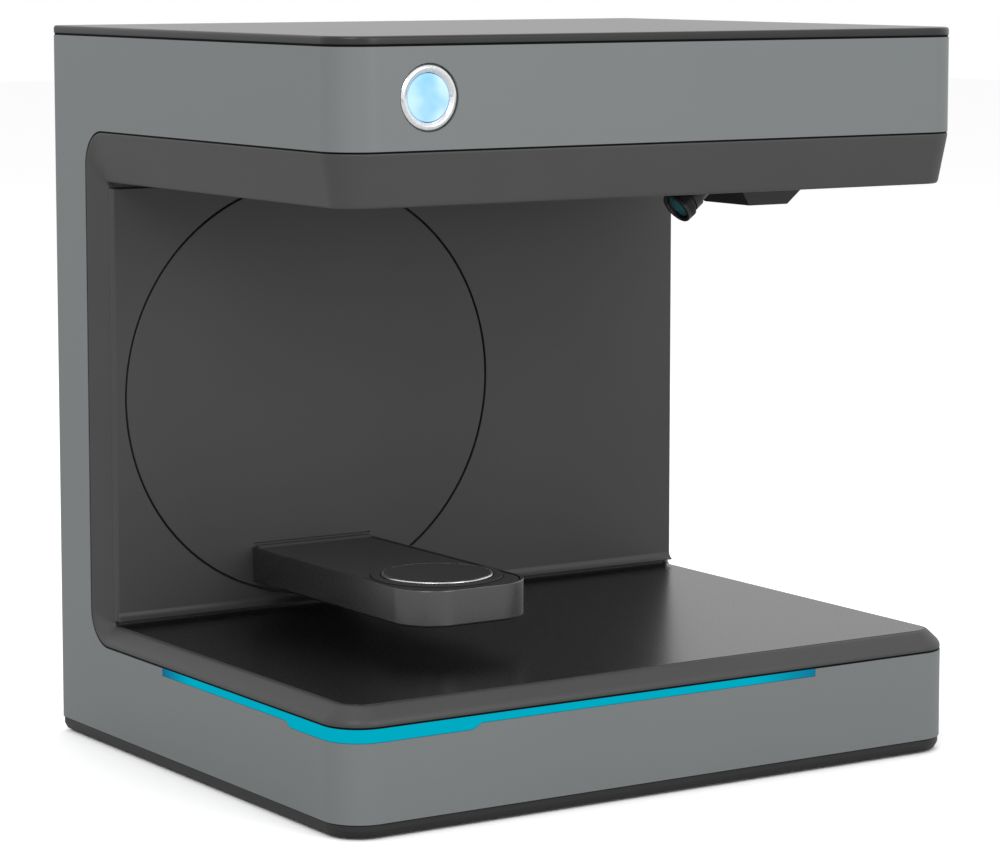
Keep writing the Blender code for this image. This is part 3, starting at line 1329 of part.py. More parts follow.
def make_optics_hood():
    """The faceted hood under the head that the right camera looks out of."""
    top = UNDERSIDE - FIT
    bottom = top - HOOD_HEIGHT
    middle = RIGHT - HOOD_FROM_SIDE

    def outline(grow_side, grow_front, inset):
        half_width = HOOD_BOTTOM_WIDTH / 2 + grow_side - inset
        half_depth = HOOD_BOTTOM_DEPTH / 2 + grow_front - inset
        return [
            (middle - half_width, TABLE_Y - half_depth),
            (middle + half_width, TABLE_Y - half_depth),
            (middle + half_width, TABLE_Y + half_depth),
            (middle - half_width, TABLE_Y + half_depth),
        ]

    hood = loft("optics_hood", [
        (bottom, outline(0, 0, 0)),
        (top, outline(HOOD_FLARE_SIDE, HOOD_FLARE_FRONT, 0)),
    ], BLACK_PLASTIC)
    cut(hood, loft("hood_inside", [
        (bottom + HOOD_WALL, outline(HOOD_WALL, 0, HOOD_WALL)),
        (top + HOOD_WALL, outline(HOOD_FLARE_SIDE + HOOD_WALL, HOOD_FLARE_FRONT, HOOD_WALL)),
    ]))
    bore = LENS_NECK_RADIUS + HOOD_NECK_GAP
    neck = turned("hood_neck", [(0, LENS_LENGTH), (bore, LENS_LENGTH), (bore, 0), (0, 0)])
    place_optic(neck, CAMERA_RIGHT_FRONT)
    cut(hood, neck)
    side = CAMERA_SIDE / 2 + HOOD_NECK_GAP
    depth = CAMERA_DEPTH / 2 + HOOD_NECK_GAP
    room = box("hood_camera_room", (-side, -depth, 0), (side, depth, CAMERA_LENGTH + HOOD_NECK_GAP))
    place_optic(room, CAMERA_RIGHT_FRONT, LENS_LENGTH)
    cut(hood, room)
    return hood


def screw_places():
    for side, x in (("left", REAR_LEFT + SCREW_INSET), ("right", REAR_RIGHT - SCREW_INSET)):
        for end, z in (("bottom", REAR_BOTTOM + SCREW_INSET), ("top", REAR_TOP - SCREW_INSET)):
            yield f"rear_screw_{end}_{side}", x, z


def fan_place():
    return REAR_RIGHT - FAN_FROM_SIDE, REAR_TOP - VENT_TOP_OFFSET - VENT_ROWS * VENT_PITCH / 2


def make_rear_panel():
    panel = loft("rear_panel", [
        (REAR_INNER, rear_outline(-REAR_REBATE - FIT)),
        (REAR_FACE - REAR_PLATE, rear_outline(-REAR_REBATE - FIT)),
        (REAR_FACE - REAR_PLATE, rear_outline(0)),
        (REAR_FACE, rear_outline(0)),
    ], DARK_PLASTIC, axis="Y")
    fan_x, fan_z = fan_place()
    ends = (REAR_INNER - OVERRUN, REAR_FACE + OVERRUN)
    reach = FAN_BORE - GRILLE_SLOT
    rows = int(reach / GRILLE_PITCH)
    for row in range(-rows, rows + 1):
        z = fan_z + row * GRILLE_PITCH
        half = math.sqrt(reach * reach - (row * GRILLE_PITCH) ** 2)
        slot_low = (fan_x - half, ends[0], z - GRILLE_SLOT / 2)
        slot_high = (fan_x + half, ends[1], z + GRILLE_SLOT / 2)
        cut(panel, box(f"grille_slot_{row + rows}", slot_low, slot_high))
    for row in range(VENT_ROWS):
        z = REAR_TOP - VENT_TOP_OFFSET - row * VENT_PITCH
        middle = REAR_LEFT + VENT_FROM_SIDE
        slot_low = (middle - VENT_LENGTH / 2, ends[0], z - VENT_HEIGHT / 2)
        slot_high = (middle + VENT_LENGTH / 2, ends[1], z + VENT_HEIGHT / 2)
        cut(panel, box(f"vent_slot_{row}", slot_low, slot_high))

    half_width = SOCKET_POCKET_WIDTH / 2
    half_height = SOCKET_POCKET_HEIGHT / 2
    wall = SOCKET_FLOOR
    floor = POCKET_FLOOR
    pocket_low = (POCKET_X - half_width - wall, floor - wall, SOCKET_Z - half_height - wall)
    pocket_high = (POCKET_X + half_width + wall, REAR_FACE - EDGE, SOCKET_Z + half_height + wall)
    join(panel, box("socket_box", pocket_low, pocket_high))
    room_low = (POCKET_X - half_width, floor, SOCKET_Z - half_height)
    room_high = (POCKET_X + half_width, REAR_FACE + OVERRUN, SOCKET_Z + half_height)
    cut(panel, box("socket_room", room_low, room_high))
    for name, offset, width, height in (
        ("inlet", -INLET_OFFSET, INLET_WIDTH, INLET_HEIGHT),
        ("switch", SWITCH_OFFSET, SWITCH_WIDTH, SWITCH_HEIGHT),
        ("usb", USB_OFFSET, USB_WIDTH, USB_HEIGHT),
    ):
        hole_low = (POCKET_X + offset - width / 2 - FIT, floor - OVERRUN, SOCKET_Z - height / 2 - FIT)
        hole_high = (POCKET_X + offset + width / 2 + FIT, floor + OVERRUN, SOCKET_Z + height / 2 + FIT)
        cut(panel, box(f"hole_{name}", hole_low, hole_high))
    for name, x, z in screw_places():
        radius = SCREW_SHANK_RADIUS + FIT
        cut(panel, cylinder(f"hole_{name}", (x, z), "Y", *ends, radius, steps=SMALL_STEPS))
        seat_ends = (REAR_FACE - SCREW_HEAD - FIT, REAR_FACE + OVERRUN)
        cut(panel, cylinder(f"seat_{name}", (x, z), "Y", *seat_ends, SCREW_RADIUS + FIT, steps=SMALL_STEPS))
    return panel


def make_screws():
    for name, x, z in screw_places():
        screw = turned(name, [
            (0, SCREW_LENGTH),
            (SCREW_RADIUS, SCREW_LENGTH),
            (SCREW_RADIUS, SCREW_LENGTH - SCREW_HEAD),
            (SCREW_SHANK_RADIUS, SCREW_LENGTH - SCREW_HEAD),
            (SCREW_SHANK_RADIUS, 0),
            (0, 0),
        ], STEEL, steps=16)
        along_y(screw, x, REAR_FACE - SCREW_LENGTH, z)


def make_sockets():
    """The mains inlet, the power switch's frame and rocker, and the data socket in the rear pocket."""
    face = POCKET_FLOOR + SOCKET_FLOOR
    x = POCKET_X - INLET_OFFSET
    low = (x - INLET_WIDTH / 2, face - INLET_LENGTH, SOCKET_Z - INLET_HEIGHT / 2)
    high = (x + INLET_WIDTH / 2, face, SOCKET_Z + INLET_HEIGHT / 2)
    inlet = box("power_inlet", low, high, BLACK_PLASTIC, EDGE)
    wall = INLET_WALL
    room_floor = face - INLET_LENGTH + wall
    room_low = (low[0] + wall, room_floor, low[2] + wall)
    room_high = (high[0] - wall, face + OVERRUN, high[2] - wall)
    cut(inlet, box("inlet_room", room_low, room_high))
    for pin in (-1, 0, 1):
        pin_x = x + pin * INLET_PIN_PITCH
        pin_z = SOCKET_Z + (INLET_PIN_HEIGHT / 2 if pin == 0 else -INLET_PIN_HEIGHT / 2)
        pin_low = (pin_x - INLET_PIN_WIDTH / 2, room_floor - wall / 2, pin_z - INLET_PIN_HEIGHT / 2)
        pin_high = (pin_x + INLET_PIN_WIDTH / 2, room_floor + INLET_PIN_LENGTH, pin_z + INLET_PIN_HEIGHT / 2)
        join(inlet, box(f"inlet_pin_{pin + 1}", pin_low, pin_high))

    x = POCKET_X + SWITCH_OFFSET
    low = (x - SWITCH_WIDTH / 2, face - SWITCH_LENGTH, SOCKET_Z - SWITCH_HEIGHT / 2)
    high = (x + SWITCH_WIDTH / 2, face, SOCKET_Z + SWITCH_HEIGHT / 2)
    frame = box("switch_frame", low, high, BLACK_PLASTIC, EDGE / 2)
    wall = SWITCH_WALL
    room_low = (low[0] + wall, low[1] + wall, low[2] + wall)
    room_high = (high[0] - wall, face + OVERRUN, high[2] - wall)
    cut(frame, box("switch_room", room_low, room_high))
    pivot_y = face - ROCKER_PIVOT_DEPTH
    pin_hole = (x, pivot_y, SOCKET_Z)
    socket_radius = ROCKER_PIN_RADIUS + FIT
    pin_ends = (low[0] + wall / 2, high[0] - wall / 2)
    pin_centre = (pivot_y, SOCKET_Z)
    cut(frame, cylinder("switch_pin_room", pin_centre, "X", *pin_ends, socket_radius, steps=SMALL_STEPS))
    rocker = prism("switch_rocker", rocker_outline(pivot_y), "X", room_low[0] + FIT, room_high[0] - FIT, BLACK_PLASTIC)
    pin_span = (pin_ends[0] + FIT, pin_ends[1] - FIT)
    join(rocker, cylinder("rocker_pin", pin_centre, "X", *pin_span, ROCKER_PIN_RADIUS, steps=SMALL_STEPS))

    x = POCKET_X + USB_OFFSET
    low = (x - USB_WIDTH / 2, face - USB_LENGTH, SOCKET_Z - USB_HEIGHT / 2)
    high = (x + USB_WIDTH / 2, face, SOCKET_Z + USB_HEIGHT / 2)
    usb = box("usb_socket", low, high, ALUMINIUM)
    wall = USB_WALL
    room_low = (low[0] + wall, low[1] + wall, low[2] + wall)
    room_high = (high[0] - wall, face + OVERRUN, high[2] - wall)
    cut(usb, box("usb_room", room_low, room_high))
    tongue_low = (x - USB_TONGUE_WIDTH / 2, low[1] + wall / 2, SOCKET_Z - USB_TONGUE_HEIGHT / 2)
    tongue_high = (x + USB_TONGUE_WIDTH / 2, face - wall, SOCKET_Z + USB_TONGUE_HEIGHT / 2)
    join(usb, box("usb_tongue", tongue_low, tongue_high))
    return rocker, pin_hole


def rocker_outline(pivot_y):
    """The rocker's side as (y, z) points in its off position: a shallow V face and a rounded belly."""
    reach = SWITCH_HEIGHT / 2 - SWITCH_WALL - FIT * 4
    dip = reach * math.tan(math.radians(ROCKER_TILT_DEGREES))
    face = ROCKER_PIVOT_DEPTH - FIT * 3
    points = [(face - dip, 0), (face - dip / 4, reach)]
    for step in range(ROCKER_BELLY_STEPS + 1):
        angle = math.pi * step / ROCKER_BELLY_STEPS
        points.append((-ROCKER_RADIUS * math.sin(angle) * ROCKER_BELLY_SHARE, reach * math.cos(angle)))
    points.append((face - dip / 4, -reach))
    lean = math.radians(ROCKER_DEGREES)
    return [
        (pivot_y + y * math.cos(lean) - z * math.sin(lean), SOCKET_Z + y * math.sin(lean) + z * math.cos(lean))
        for y, z in points
    ]


def make_fan():
    x, z = fan_place()
    half = FAN_SIDE / 2
    back = REAR_INNER - FIT
    front = back - FAN_DEPTH
    outline = rounded(x - half, x + half, z - half, z + half, FAN_CORNER, FAN_CORNER, steps=2)
    housing = prism("fan_housing", outline, "Y", front, back, BLACK_PLASTIC)
    bore_ends = (front - OVERRUN, back + OVERRUN)
    cut(housing, cylinder("fan_bore", (x, z), "Y", *bore_ends, FAN_BORE))
    hub_ends = (front, front + FAN_STRUT_DEPTH)
    join(housing, cylinder("fan_seat", (x, z), "Y", *hub_ends, FAN_HUB_RADIUS, steps=24))
    strut = (FAN_STRUT / 2, FAN_BORE + FAN_STRUT / 2)
    join(housing, box("fan_strut_flat", (x - strut[1], hub_ends[0], z - strut[0]),
                      (x + strut[1], hub_ends[1], z + strut[0])))
    join(housing, box("fan_strut_upright", (x - strut[0], hub_ends[0], z - strut[1]),
                      (x + strut[0], hub_ends[1], z + strut[1])))
    spindle_room = (front - OVERRUN, hub_ends[1] + OVERRUN)
    room = FAN_SPINDLE_RADIUS + FIT
    cut(housing, cylinder("fan_spindle_room", (x, z), "Y", *spindle_room, room, steps=SMALL_STEPS))

    rotor_front = hub_ends[1] + FIT
    rotor_ends = (rotor_front, rotor_front + FAN_HUB_LENGTH)
    rotor = cylinder("fan_rotor", (x, z), "Y", *rotor_ends, FAN_HUB_RADIUS, BLACK_PLASTIC, steps=24)
    spindle_ends = (front + FIT, rotor_front + FAN_SPINDLE_LENGTH)
    join(rotor, cylinder("fan_spindle", (x, z), "Y", *spindle_ends, FAN_SPINDLE_RADIUS, steps=SMALL_STEPS))
    tip = FAN_BORE - FAN_TIP_GAP
    middle_y = (rotor_ends[0] + rotor_ends[1]) / 2
    for number in range(FAN_BLADES):
        blade = box(
            f"fan_blade_{number}",
            (FAN_HUB_RADIUS / 2, -FAN_BLADE_DEPTH / 2, -FAN_BLADE_SHEET / 2),
            (tip, FAN_BLADE_DEPTH / 2, FAN_BLADE_SHEET / 2),
        )
        pitch = Matrix.Rotation(math.radians(FAN_BLADE_DEGREES), 4, "X")
        turn = Matrix.Rotation(number * math.tau / FAN_BLADES, 4, "Y")
        blade.matrix_world = Matrix.Translation((x, middle_y, z)) @ turn @ pitch
        join(rotor, blade)
    return rotor, (x, middle_y, z)


def make_electronics():
    """The power supply and the control board on the chassis floor."""
    floor = CHASSIS_BOTTOM + CHASSIS_SHEET + FIT
    right = CHASSIS_HALF_WIDTH - SUPPLY_FROM_SIDE
    back = CHASSIS_FACE - SUPPLY_FROM_BACK
    low = (right - SUPPLY_WIDTH, back - SUPPLY_DEPTH, floor)
    high = (right, back, floor + SUPPLY_HEIGHT)
    supply = box("power_supply", low, high, SUPPLY_METAL, BODY_CHAMFER)
    for slot in range(SUPPLY_SLOTS):
        middle = low[0] + (slot + 1) * SUPPLY_WIDTH / (SUPPLY_SLOTS + 1)
        slot_low = (middle - SUPPLY_SLOT / 2, low[1] + OVERRUN, high[2] - SUPPLY_SLOT_DEPTH)
        slot_high = (middle + SUPPLY_SLOT / 2, high[1] - OVERRUN, high[2] + OVERRUN)
        cut(supply, box(f"supply_slot_{slot}", slot_low, slot_high))

    sheet_bottom = floor + BOARD_STANDOFF
    sheet_top = sheet_bottom + BOARD_SHEET
    left = BOARD_FROM_SIDE - CHASSIS_HALF_WIDTH
    front = FRONT + CHASSIS_FRONT + BOARD_FROM_FRONT
    low = (left, front, sheet_bottom)
    high = (left + BOARD_WIDTH, front + BOARD_DEPTH, sheet_top)
    board = box("control_board", low, high, BOARD_GREEN)
    inset = BOARD_STANDOFF_INSET
    for number, (x, y) in enumerate((
        (low[0] + inset, low[1] + inset), (high[0] - inset, low[1] + inset),
        (high[0] - inset, high[1] - inset), (low[0] + inset, high[1] - inset),
    )):
        ends = (floor, sheet_bottom + BOARD_SHEET / 2)
        join(board, cylinder(f"board_leg_{number}", (x, y), "Z", *ends, BOARD_STANDOFF_RADIUS, steps=12))
    sink_x = left + BOARD_WIDTH / 2
    sink_y = front + BOARD_DEPTH / 2
    half = HEATSINK_SIDE / 2
    sunk = sheet_top - BOARD_SHEET / 2
    sink = box("heatsink", (sink_x - half, sink_y - half, sunk),
               (sink_x + half, sink_y + half, sheet_top + HEATSINK_HEIGHT))
    join(board, sink)
    pitch = HEATSINK_SIDE / HEATSINK_FINS
    for fin in range(1, HEATSINK_FINS):
        x = sink_x - half + fin * pitch
        groove_low = (x - HEATSINK_FIN / 2, sink_y - half - OVERRUN, sheet_top + HEATSINK_HEIGHT / 4)
        groove_high = (x + HEATSINK_FIN / 2, sink_y + half + OVERRUN, sheet_top + HEATSINK_HEIGHT + OVERRUN)
        cut(board, box(f"heatsink_groove_{fin}", groove_low, groove_high))
    edge = low[1] + inset * 2
    join(board, box("board_connector", (sink_x - CONNECTOR_WIDTH / 2, edge, sunk),
                    (sink_x + CONNECTOR_WIDTH / 2, edge + CONNECTOR_DEPTH, sheet_top + CONNECTOR_HEIGHT)))


def build():
    make_outer_shell()
    make_bay_liner()
    make_back_panel()
    make_bay_deck()
    make_top_lid()
    make_base_pan()
    make_feet()
    make_light_guide()
    make_status_light()
    disc = make_swing_disc()
    arm, cover = make_arm()
    table_pieces, motor_pulley = make_turntable()
    shaft, gear, collar, pinion = make_swing_drive()
    make_chassis()
    make_camera("right", CAMERA_RIGHT_FRONT)
    make_camera("left", CAMERA_LEFT_FRONT)
    make_projector()
    make_optics_bracket()
    make_optics_hood()
    make_rear_panel()
    make_screws()
    rocker, rocker_pivot = make_sockets()
    rotor, rotor_centre = make_fan()
    make_electronics()

    swing_items = [disc, arm, cover, shaft, gear, collar]
    swing_items += [bpy.data.objects[name] for name in ("table_ring", "table_bearing", "table_motor", "table_belt")]
    swing = joint_empty("swing_axis", (SWING_X, PANEL_FRONT, SWING_Z), swing_items)
    table = joint_empty("turntable_axis", (SWING_X, TABLE_Y, TABLE_TOP), table_pieces)
    motor = joint_empty("table_motor_axis", (SWING_X, TABLE_MOTOR_Y, PULLEY_BOTTOM), [motor_pulley])
    joint_empty("pinion_axis", (PINION_X, GEAR_FRONT, PINION_Z), [pinion])
    joint_empty("fan_axis", rotor_centre, [rotor])
    joint_empty("rocker_axis", rocker_pivot, [rocker])
    for child in (table, motor):
        child.parent = swing
        child.matrix_parent_inverse = swing.matrix_world.inverted()


clear_scene()
PARTS = new_collection("desktop_3d_scanner")
CUTTERS = new_collection("cutters")
build()
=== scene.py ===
"""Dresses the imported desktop 3-D scanner: finer meshes for what shows, materials, studio and camera.

Lengths are in millimetres and become metres when a mesh is made. +X is right, -Y is the front, +Z is up.
"""

import json
import math

import bmesh
import bpy
from mathutils import Matrix, Vector


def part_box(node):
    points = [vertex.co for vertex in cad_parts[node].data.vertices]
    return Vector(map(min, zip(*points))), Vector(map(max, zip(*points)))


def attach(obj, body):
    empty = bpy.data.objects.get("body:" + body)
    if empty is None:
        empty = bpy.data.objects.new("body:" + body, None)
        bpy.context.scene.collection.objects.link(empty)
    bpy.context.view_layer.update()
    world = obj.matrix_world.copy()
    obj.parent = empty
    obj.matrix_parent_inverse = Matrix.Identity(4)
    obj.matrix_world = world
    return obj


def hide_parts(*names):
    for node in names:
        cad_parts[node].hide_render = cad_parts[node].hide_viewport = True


MM = 0.001

# Housing
LEFT, RIGHT = -167.0, 167.0
FRONT, BACK = -135.25, 135.25
TOP = 340.0
FRONT_CORNER = 18.0
BACK_CORNER = 4.0
HEAD_TOP = 335.5
HEAD_BOTTOM = 292.0
SKIRT_BOTTOM = 267.9
UNDERSIDE = 270.9
BASE_BAND_TOP = 48.2
DECK_TOP = 57.8
DECK_BORDER = 7.5
PAN_TOP = 6.8
SHELL_BOTTOM = 7.1
COLUMN_FRONT = 101.05
PANEL_FRONT = 85.85
PANEL_BACK = 88.85
LINER_FACE = 89.15
LINER_SEAM = 0.8
BAY_CORNER = 17.0
SHELL_WALL = 3.0

# Status light: a chrome ring in a round seat, with a bore behind it for the lens
STATUS_X, STATUS_Z = -124.1, 314.0
STATUS_SEAT_RADIUS, STATUS_SEAT_DEPTH = 14.5, 1.9
STATUS_BORE_RADIUS = 10.8
STATUS_RING_INSIDE, STATUS_RING_OUTSIDE, STATUS_RING_DEPTH = 10.5, 14.2, 1.6
STATUS_RING_CHAMFER = 1.1
STATUS_LENS_RADIUS, STATUS_LENS_EDGE, STATUS_LENS_CROWN, STATUS_LENS_BACK = 10.2, 1.1, 0.6, 5.0

# Rear panel's recess in the shell: left, right, bottom, top and the rounding of its corners
REAR_LEFT, REAR_RIGHT, REAR_BOTTOM, REAR_TOP = -130, 130, 18, 318
REAR_CORNER = 6
REAR_REBATE, REAR_LEDGE = 1.8, 3.7

# Light strip: its left end and step on the left side, its step and right end on the front
LIGHT_LEFT_END, LIGHT_LEFT_STEP = 28.55, -84.45
LIGHT_FRONT_STEP, LIGHT_FRONT_END = -103.5, 83.1
LIGHT_THIN, LIGHT_WIDE, LIGHT_DEPTH = 3.2, 5.7, 2.2
LIGHT_LEFT_RAMP, LIGHT_FRONT_RAMP = 5.5, 6.0

# Swing disc, arm and turntable
SWING_X, SWING_Z = -54.3, 164.9
DISC_RADIUS = 100.0
DISC_SEAM = 1.0
ARM_BOTTOM, ARM_TOP = 72.2, 89.2
ARM_FRONT, ARM_BACK = -64.95, 85.55
ARM_HALF = 33.2
ARM_CORNER = 20.0
COVER_TOP = 88.9
COVER_GAP = 2.2
HUB_RADIUS = 20.0
TABLE_HOLE_RADIUS = 13.3
TABLE_Y = -28.65
TABLE_BOTTOM, TABLE_TOP = 89.2, 90.6
TABLE_RADIUS = 25.8
PAD_RADIUS = 24.35
RING_INSIDE, RING_RADIUS, RING_HEIGHT = 26.3, 30.4, 0.45

# Optics: the point they look at and the front of each lens, as (x, z)
AIM = (SWING_X, 149.18)
LENS_FRONTS = {"right": (80.19, 252.95), "left": (-49.97, 274.12)}
WINDOW_LEFT, WINDOW_RIGHT, WINDOW_HALF_DEPTH = -72.3, 136.5, 17
LENS_RADIUS, LENS_BODY_RADIUS, LENS_BORE_RADIUS = 8.2, 7.2, 6.2
LENS_GROOVE_RADIUS = 6.6
GLASS_RADIUS, GLASS_EDGE, GLASS_CROWN = 5.9, 1.75, 0.95

CORNER_STEPS = 24
DISC_STEPS = 240
TABLE_STEPS = 144

# How far a cutter runs past what it cuts
CUT = 10


# Meshes

def link(name, mesh):
    item = bpy.data.objects.new(name, mesh)
    bpy.context.scene.collection.objects.link(item)
    return item


def from_bmesh(name, bm):
    bmesh.ops.recalc_face_normals(bm, faces=bm.faces)
    mesh = bpy.data.meshes.new(name)
    bm.to_mesh(mesh)
    bm.free()
    return link(name, mesh)


def loft(name, rings, closed=False):
    """A solid through rings of equal point count, in millimetres. Closed joins the last ring to the first."""
    bm = bmesh.new()
    loops = [[bm.verts.new(Vector(point) * MM) for point in ring] for ring in rings]
    pairs = list(zip(loops, loops[1:]))
    if closed:
        pairs.append((loops[-1], loops[0]))
    for low, high in pairs:
        for here in range(len(low)):
            there = (here + 1) % len(low)
            bm.faces.new((low[here], low[there], high[there], high[here]))
    if not closed:
        bm.faces.new(loops[0])
        bm.faces.new(loops[-1])
    return from_bmesh(name, bm)


def join_meshes(name, items):
    """One object of several, whose modifiers are applied first."""
    bm = bmesh.new()
    for item in items:
        mesh = evaluated(item)
        bm.from_mesh(mesh)
        bpy.data.meshes.remove(mesh)
        bpy.data.objects.remove(item)
    mesh = bpy.data.meshes.new(name)
    bm.to_mesh(mesh)
    bm.free()
    return link(name, mesh)


def evaluated(item):
    """The mesh that an object's modifiers give, in the row frame."""
    bpy.context.view_layer.update()
    graph = bpy.context.evaluated_depsgraph_get()
    mesh = bpy.data.meshes.new_from_object(item.evaluated_get(graph))
    mesh.transform(item.matrix_world)
    return mesh


def settle(item):
    """Puts an object's modifiers and its place into its mesh."""
    mesh = evaluated(item)
    item.modifiers.clear()
    item.data = mesh
    item.matrix_world = Matrix.Identity(4)
    return item


def carve(target, cutters):
    """Cuts the cutters out of the target at once and removes them."""
    for cutter in cutters:
        modifier = target.modifiers.new(cutter.name, "BOOLEAN")
        modifier.operation = "DIFFERENCE"
        modifier.solver = "EXACT"
        modifier.object = cutter
    settle(target)
    for cutter in cutters:
        bpy.data.objects.remove(cutter)
    return target


def soften(item, width, segments=3, angle=35):
    """Rounds the sharp edges of a mesh."""
    bevel = item.modifiers.new("soften", "BEVEL")
    bevel.width = width * MM
    bevel.segments = segments
    bevel.limit_method = "ANGLE"
    bevel.angle_limit = math.radians(angle)
    bevel.miter_outer = "MITER_ARC"
    return settle(item)


def smooth(item, angle=32):
    """Smooth shading that keeps flat faces flat beside their rounded edges."""
    item.data.shade_smooth()
    item.data.set_sharp_from_angle(angle=math.radians(angle))
    weighted = item.modifiers.new("weighted", "WEIGHTED_NORMAL")
    weighted.keep_sharp = True
    weighted.weight = 50
    return item


def rounded(left, right, front, back, front_radius, back_radius, steps=CORNER_STEPS):
    """A rectangle with round corners, counter-clockwise from its left front corner."""
    corners = (
        (left + front_radius, front + front_radius, front_radius, 2),
        (right - front_radius, front + front_radius, front_radius, 3),
        (right - back_radius, back - back_radius, back_radius, 0),
        (left + back_radius, back - back_radius, back_radius, 1),
    )
    points = []
    for x, y, radius, quarter in corners:
        for step in range(steps + 1):
            angle = (quarter + step / steps) * math.pi / 2
            points.append((x + radius * math.cos(angle), y + radius * math.sin(angle)))
    return points


def plan(inset, level, back=None):
    """The housing's outline at a level, drawn in by inset; back gives another place for its rear side."""
    front_radius = max(FRONT_CORNER - inset, 0.3)
    rear = BACK - inset if back is None else back
    back_radius = max(BACK_CORNER - inset, 0.3)
    outline = rounded(LEFT + inset, RIGHT - inset, FRONT + inset, rear, front_radius, back_radius)
    return [(x, y, level) for x, y in outline]


def block(name, low, high, round_edges=0, segments=3):
    """A box in millimetres with its edges rounded."""
    low, high = Vector(low) * MM, Vector(high) * MM
    bm = bmesh.new()
    placed = Matrix.Translation((low + high) / 2) @ Matrix.Diagonal((*(high - low), 1))
    bmesh.ops.create_cube(bm, size=1, matrix=placed)
    if round_edges:
        bmesh.ops.bevel(
            bm, geom=bm.edges[:], offset=round_edges * MM, segments=segments, profile=0.5, affect="EDGES"
        )
    return from_bmesh(name, bm)


def prism(name, points, axis, low, high):
    """An outline across an axis, extruded along it."""
    place = {
        "X": lambda a, b, level: (level, a, b),
        "Y": lambda a, b, level: (a, level, b),
        "Z": lambda a, b, level: (a, b, level),
    }[axis]
    return loft(name, [[place(a, b, level) for a, b in points] for level in (low, high)])


def turned(name, profile, steps=96):
    """A solid of revolution round Z from (radius, height) points; a radius of zero ends in a point."""
    bm = bmesh.new()
    columns = []
    for radius, height in profile:
        if radius <= 0:
            columns.append([bm.verts.new((0, 0, height * MM))])
            continue
        ring = []
        for step in range(steps):
            angle = math.tau * step / steps
            x, y = radius * math.cos(angle) * MM, radius * math.sin(angle) * MM
            ring.append(bm.verts.new((x, y, height * MM)))
        columns.append(ring)
    pairs = list(zip(columns, columns[1:]))
    if len(columns[0]) > 1 or len(columns[-1]) > 1:
        pairs.append((columns[-1], columns[0]))
    for low, high in pairs:
        for here in range(steps):
            there = (here + 1) % steps
            if len(low) > 1 and len(high) > 1:
                bm.faces.new((low[here], low[there], high[there], high[here]))
            elif len(high) > 1:
                bm.faces.new((low[0], high[there], high[here]))
            elif len(low) > 1:
                bm.faces.new((low[here], low[there], high[0]))
    return from_bmesh(name, bm)


def plug(name, radius, far, near=-CUT, steps=96):
    """A round cutter along local Z."""
    return turned(name, [(0, far), (radius, far), (radius, near), (0, near)], steps)


def crown(radius, edge, height, steps=8):
    """A shallow dome's (radius, height) points from its rim to its middle, towards local -Z."""
    points = []
    for step in range(1, steps):
        quarter = step / steps * math.pi / 2
        points.append((radius * math.cos(quarter), edge - height * math.sin(quarter)))
    return points + [(0, edge - height)]


def fillet(profile, width, steps=4):
    """Rounds every corner of an open (radius, height) profile by about width."""
    points = [Vector(point) for point in profile]
    result = [points[0]]
    for before, here, after in zip(points, points[1:], points[2:]):
        reach_in = min(width, (here - before).length / 2.2)
        reach_out = min(width, (after - here).length / 2.2)
        start = here + (before - here).normalized() * reach_in
        end = here + (after - here).normalized() * reach_out
        for step in range(steps + 1):
            share = step / steps
            result.append(start * (1 - share) ** 2 + here * 2 * share * (1 - share) + end * share**2)
    result.append(points[-1])
    return [(point.x, point.y) for point in result]


def at(item, x, y, z):
    """Places a piece, in millimetres."""
    item.location = Vector((x, y, z)) * MM
    return item


def facing_front(item, x, y, z):
    """Turns a piece made round local Z so that its +Z looks along +Y."""
    item.rotation_euler = (-math.pi / 2, 0, 0)
    return at(item, x, y, z)


# Materials. A noise's scale is in features per metre, and a grain's depth is in metres.

SLOW_TONE = 14
GLOSS_CHANGE = 0.03
FINE_GRAIN = 0.00001
GRAIN = 0.00002


def new_material(name):
    material = bpy.data.materials.new(name)
    material.use_nodes = True
    tree = material.node_tree
    shader = tree.nodes["Principled BSDF"]
    return material, tree, shader


def noise(tree, scale, detail=2.0, roughness=0.5, stretch=None):
    """A noise texture in object space; scale is in features per metre."""
    coordinates = tree.nodes.new("ShaderNodeTexCoord")
    node = tree.nodes.new("ShaderNodeTexNoise")
    node.inputs["Scale"].default_value = scale
    node.inputs["Detail"].default_value = detail
    node.inputs["Roughness"].default_value = roughness
    source = coordinates.outputs["Object"]
    if stretch:
        mapping = tree.nodes.new("ShaderNodeMapping")
        mapping.inputs["Scale"].default_value = stretch
        tree.links.new(source, mapping.inputs["Vector"])
        source = mapping.outputs["Vector"]
    tree.links.new(source, node.inputs["Vector"])
    return node.outputs["Fac"]


def spread(tree, value, low, high, start=0.3, end=0.7):
    """Maps a value from start to end onto low to high."""
    node = tree.nodes.new("ShaderNodeMapRange")
    node.inputs["From Min"].default_value = start
    node.inputs["From Max"].default_value = end
    node.inputs["To Min"].default_value = low
    node.inputs["To Max"].default_value = high
    tree.links.new(value, node.inputs["Value"])
    return node.outputs["Result"]


def blend_colours(tree, value, first, second):
    node = tree.nodes.new("ShaderNodeMix")
    node.data_type = "RGBA"
    node.inputs["A"].default_value = (*first, 1)
    node.inputs["B"].default_value = (*second, 1)
    tree.links.new(value, node.inputs["Factor"])
    return node.outputs["Result"]


